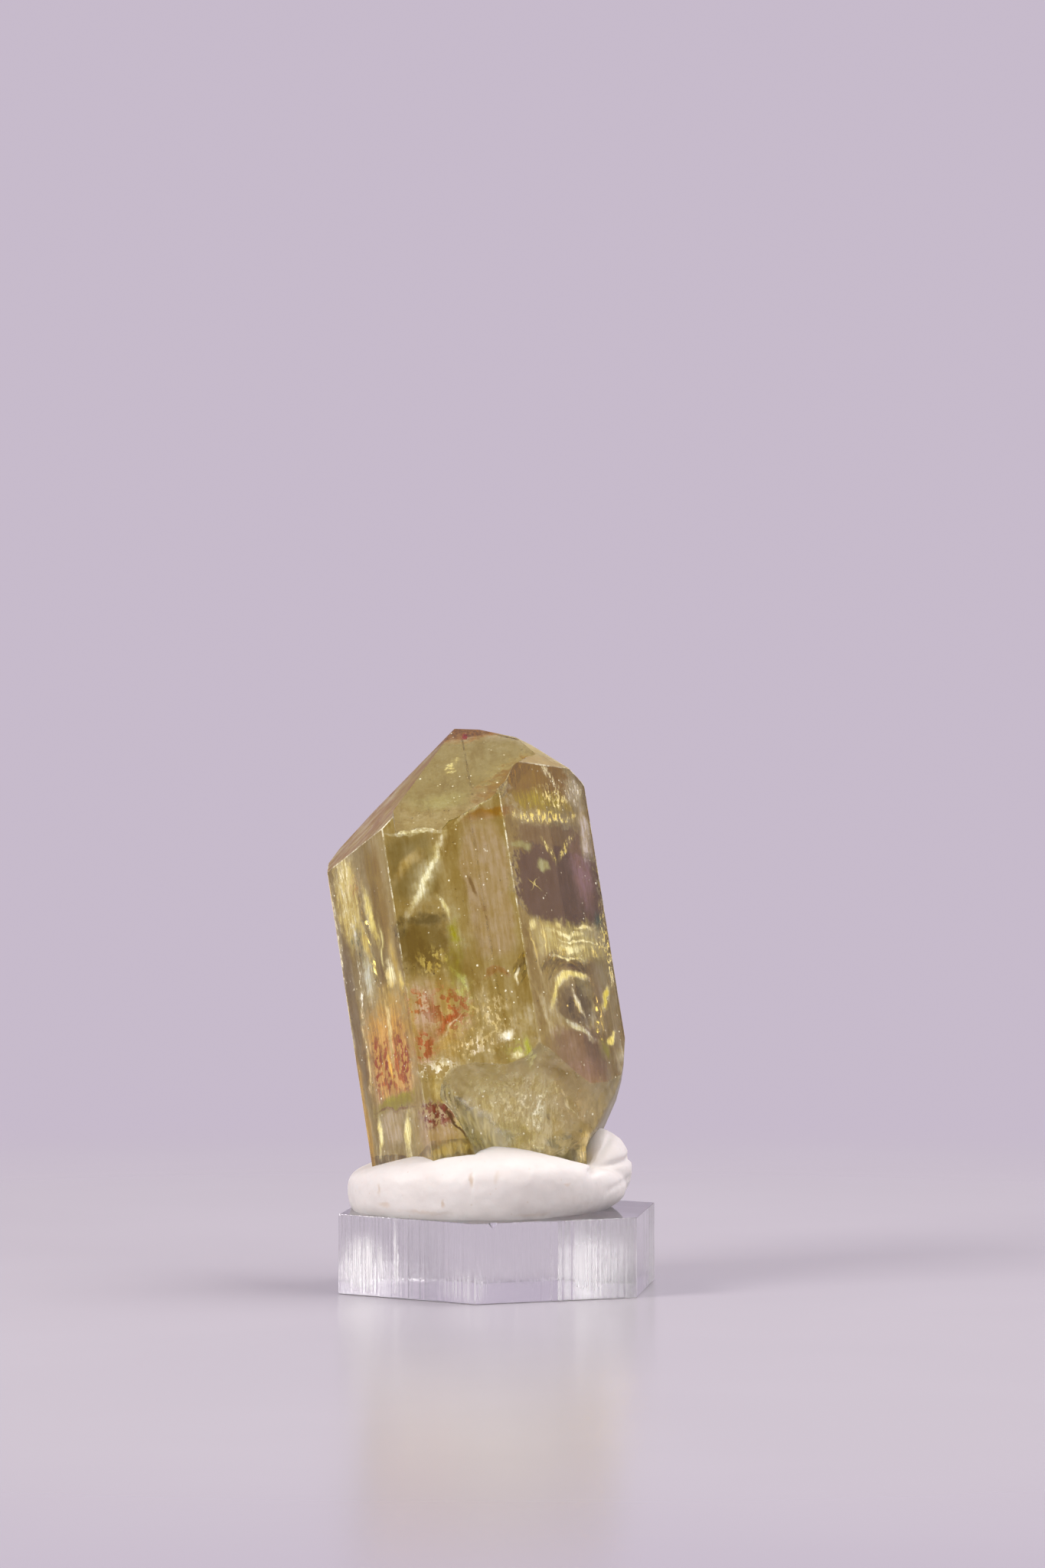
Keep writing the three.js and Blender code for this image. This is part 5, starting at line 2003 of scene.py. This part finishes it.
RIGHT_MARKS = (
    spot(RIGHT, -2.4, 30.0, (5.6, 3.0), (0.28, 0.15, 0.0), 0.98, veil=0.48, ragged=0.6,
         outline=Outline.BOXY, thick=4.0, edge=0.3),
    spot(RIGHT, -1.6, 28.0, (5.0, 1.0), (0.50, 0.40, 0.01), 0.85, veil=0.2, ragged=0.6, edge=0.8),
    spot(RIGHT, -0.8, 24.4, (6.4, 2.2), (0.28, 0.18, 0.08), veil=0.2, outline=Outline.BOXY, edge=0.3,
         ragged=0.4),
    # Painted shade: the dark window in the middle of the right face
    spot(RIGHT, -1.3, 21.0, (6.5, 3.4), (0.13, 0.07, 0.045), veil=0.35, outline=Outline.BOXY, edge=0.12,
         ragged=0.3, thick=1.4),
    # Painted shade: a violet dark patch in that window
    spot(RIGHT, 2.5, 22.5, (1.6, 3.2), (0.40, 0.22, 0.30), 0.8, ragged=0.5, edge=0.8),
    # Painted glints: a glittering line under the broken shoulder, a patch of them above it and a V below it
    stroke(RIGHT, (-7.8, 26.6), (2.6, 27.1), 0.55, (0.99, 0.82, 0.24), veil=0.85, speckle=0.85, ragged=0.7),
    spot(RIGHT, -0.2, 28.6, (2.4, 1.0), (0.99, 0.86, 0.40), veil=0.8, speckle=1.0, ragged=0.7),
    stroke(RIGHT, (-3.0, 25.4), (-1.1, 22.9), 0.34, (0.99, 0.86, 0.34), veil=0.7, speckle=0.85, ragged=0.6),
    stroke(RIGHT, (-1.1, 22.9), (2.2, 25.9), 0.34, (0.99, 0.86, 0.34), veil=0.7, speckle=0.85, ragged=0.6),
    spot(RIGHT, -6.3, 24.2, (1.7, 0.4), (0.62, 0.66, 0.34), 0.9, veil=0.25, ragged=0.5, edge=0.5),
    spot(RIGHT, -3.3, 22.8, (0.8, 0.5), (0.62, 0.66, 0.34), 0.8, veil=0.25, ragged=0.5, edge=0.5),
    stroke(RIGHT, (-5.9, 21.5), (-4.2, 20.5), 0.05, (0.85, 0.74, 0.30), 0.8, veil=0.6, ragged=0.3),
    stroke(RIGHT, (-5.7, 20.4), (-4.5, 21.6), 0.05, (0.85, 0.74, 0.30), 0.8, veil=0.6, ragged=0.3),
    # Painted reflections: the bright bands across the right face, with painted glints at their ends
    spot(RIGHT, -1.6, 16.6, (5.6, 1.6), (0.90, 0.80, 0.30), 0.9, veil=0.36, ragged=0.6,
         outline=Outline.BOXY),
    stroke(RIGHT, (-4.9, 17.1), (2.2, 17.3), 0.30, (1.0, 0.95, 0.60), veil=0.95, ragged=0.9, edge=0.9),
    stroke(RIGHT, (-4.2, 15.8), (1.6, 16.2), 0.34, (1.0, 0.93, 0.52), veil=0.85, ragged=1.0, edge=0.9),
    spot(RIGHT, -2.5, 18.0, (0.8, 0.45), (0.99, 0.92, 0.52), veil=0.8, ragged=0.7, edge=0.9),
    spot(RIGHT, -6.3, 17.7, (0.7, 0.35), (0.99, 0.90, 0.46), veil=0.8, ragged=0.7, edge=0.9),
    stroke(RIGHT, (-6.9, 17.4), (-6.3, 13.9), 0.24, (0.98, 0.80, 0.30), veil=0.6, ragged=0.7, edge=0.8),
    stroke(RIGHT, (4.4, 17.6), (2.0, 15.2), 0.5, (0.98, 0.84, 0.34), veil=0.8, speckle=0.8, ragged=0.7),
    # Painted shade: the dark gap under the bright bands
    spot(RIGHT, -1.3, 14.5, (3.8, 0.55), (0.40, 0.28, 0.14), 0.8, ragged=0.5, edge=0.6,
         outline=Outline.BOXY),
    # Painted highlight: the bright arc
    spot(RIGHT, -1.8, 10.8, (3.7, 0.50), (0.98, 0.88, 0.36), veil=0.8, ragged=0.6, outline=Outline.ARCH,
         edge=0.8, flatten=0.80, roll=-24.0),
    spot(RIGHT, -2.0, 11.1, (2.8, 2.0), (0.22, 0.16, 0.10), 0.95, ragged=0.5, edge=0.4),
    # Painted shade: the dark violet area low on the right face
    spot(RIGHT, -2.3, 7.2, (4.4, 2.3), (0.43, 0.26, 0.24), 0.95, ragged=0.4, edge=0.4, outline=Outline.BOXY),
    spot(RIGHT, 2.0, 12.6, (1.2, 2.6), (0.62, 0.46, 0.44), 0.7, veil=0.1, ragged=0.5, edge=0.8),
    stroke(RIGHT, (-1.9, 12.4), (-0.6, 10.2), 0.32, (0.95, 0.91, 0.72), veil=0.8, ragged=0.9, edge=0.9),
    stroke(RIGHT, (-4.5, 10.4), (0.4, 8.3), 0.34, (0.88, 0.90, 0.78), veil=0.65, ragged=1.0, edge=0.9),
    stroke(RIGHT, (-3.6, 9.6), (-1.6, 9.2), 0.22, (0.90, 0.88, 0.62), veil=0.6, ragged=0.9, edge=0.9),
    stroke(RIGHT, (1.8, 11.0), (4.2, 13.0), 0.45, (0.98, 0.86, 0.14), veil=0.6, ragged=0.8, edge=0.8),
    # Painted glint
    stroke(RIGHT, (1.9, 8.0), (3.8, 9.0), 0.28, (0.99, 0.86, 0.24), veil=0.85, ragged=0.7, edge=0.7),
    spot(RIGHT, 1.6, 7.6, (0.8, 0.9), (0.50, 0.50, 0.01), 0.9, veil=0.2, ragged=0.7, edge=0.8),
    stroke(RIGHT, (-7.0, 12.4), (-6.2, 8.6), 0.5, (0.93, 0.88, 0.70), 0.8, veil=0.45, ragged=0.8, edge=0.9),
    # Painted glints along the right edge
    stroke(RIGHT, (4.6, 20.0), (4.4, 12.6), 0.55, (0.99, 0.84, 0.30), veil=0.85, speckle=1.0, ragged=0.6),
    spot(RIGHT, 4.0, 18.3, (0.7, 0.9), (0.05, 0.10, 0.08), 0.9, ragged=0.8, edge=0.8),
    stroke(RIGHT, (-5.3, 18.3), (-4.9, 14.6), 0.16, (0.98, 0.84, 0.34), veil=0.7, ragged=0.7, edge=0.9),
    # Painted reflections: more bright streaks in the bands
    stroke(RIGHT, (-3.6, 16.5), (3.2, 16.7), 0.16, (1.0, 0.95, 0.62), veil=0.95, ragged=0.9, edge=0.9),
    stroke(RIGHT, (-1.0, 17.7), (3.4, 17.9), 0.22, (1.0, 0.93, 0.56), 0.9, veil=0.9, ragged=1.0, edge=0.9),
    stroke(RIGHT, (-4.6, 15.1), (0.6, 15.4), 0.16, (1.0, 0.92, 0.50), 0.9, veil=0.9, ragged=0.9, edge=0.9),
    stroke(RIGHT, (3.9, 28.4), (4.0, 23.5), 0.9, (0.84, 0.76, 0.78), veil=0.4, ragged=0.4),
    spot(RIGHT, 3.0, 29.2, (1.5, 1.2), (0.90, 0.85, 0.80), veil=0.65, speckle=0.6, ragged=0.5),
    stroke(RIGHT, (-1.4, 31.4), (1.0, 29.6), 0.4, (0.96, 0.88, 0.62), veil=0.7, speckle=0.9, ragged=0.8),
)

PATCHES: tuple[TintPatch, ...] = (
    TIP_MARKS + FRONT_MARKS + HOLLOW_MARKS + LEFT_MARKS + RUST_MARKS + RIGHT_MARKS
)

BREAKS: tuple[InnerBreak, ...] = (
    InnerBreak(Film.GOLD, RIGHT, -1.2, 11.6, (3.6, 5.2), 1.8, pitch=18.0, arc=(50.0, 140.0), curl=0.9,
               ripple=0.22),
    InnerBreak(Film.SILVER, RIGHT, -1.6, 11.0, (1.0, 1.6), 1.8, roll=-30.0, pitch=14.0, curl=0.7),
    InnerBreak(Film.GOLD, RIGHT, 1.8, 10.6, (0.7, 2.4), 1.4, roll=12.0, pitch=20.0, curl=0.8, ripple=0.2),
    InnerBreak(Film.GOLD, LEFT, 0.5, 19.0, (0.8, 5.0), 1.4, roll=-8.0, lean=-20.0, curl=0.5, ripple=0.2),
)


def build_breaks(breaks: Iterable[InnerBreak]) -> None:
    """Makes the cracks inside the crystal, joined to one piece for each film.

    Args:
        breaks: The cracks.
    """
    by_film: dict[Film, list[bpy.types.Object]] = {}
    for number, crack in enumerate(breaks):
        by_film.setdefault(crack.film, []).append(crack.build(number))
    for film, sheets in by_film.items():
        activate(sheets[0])
        for sheet in sheets:
            sheet.select_set(True)
        bpy.ops.object.join()
        piece = added(film.value.name)
        piece.data.materials.clear()
        piece.data.materials.append(film.value.build())
        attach(piece, "root")


def main() -> None:
    """Builds the pieces in order."""
    logging.basicConfig(level=logging.INFO, format="%(name)s: %(message)s")
    crystal = ApatiteCrystal()
    crystal.build(ApatiteFinish(patches=PATCHES).build())
    build_breaks(BREAKS)
    PuttyLump().build(crystal, PuttyFinish().build())
    AcrylicBlock().build(AcrylicFinish().build())
    Studio().build()


if __name__ == "__main__":
    main()
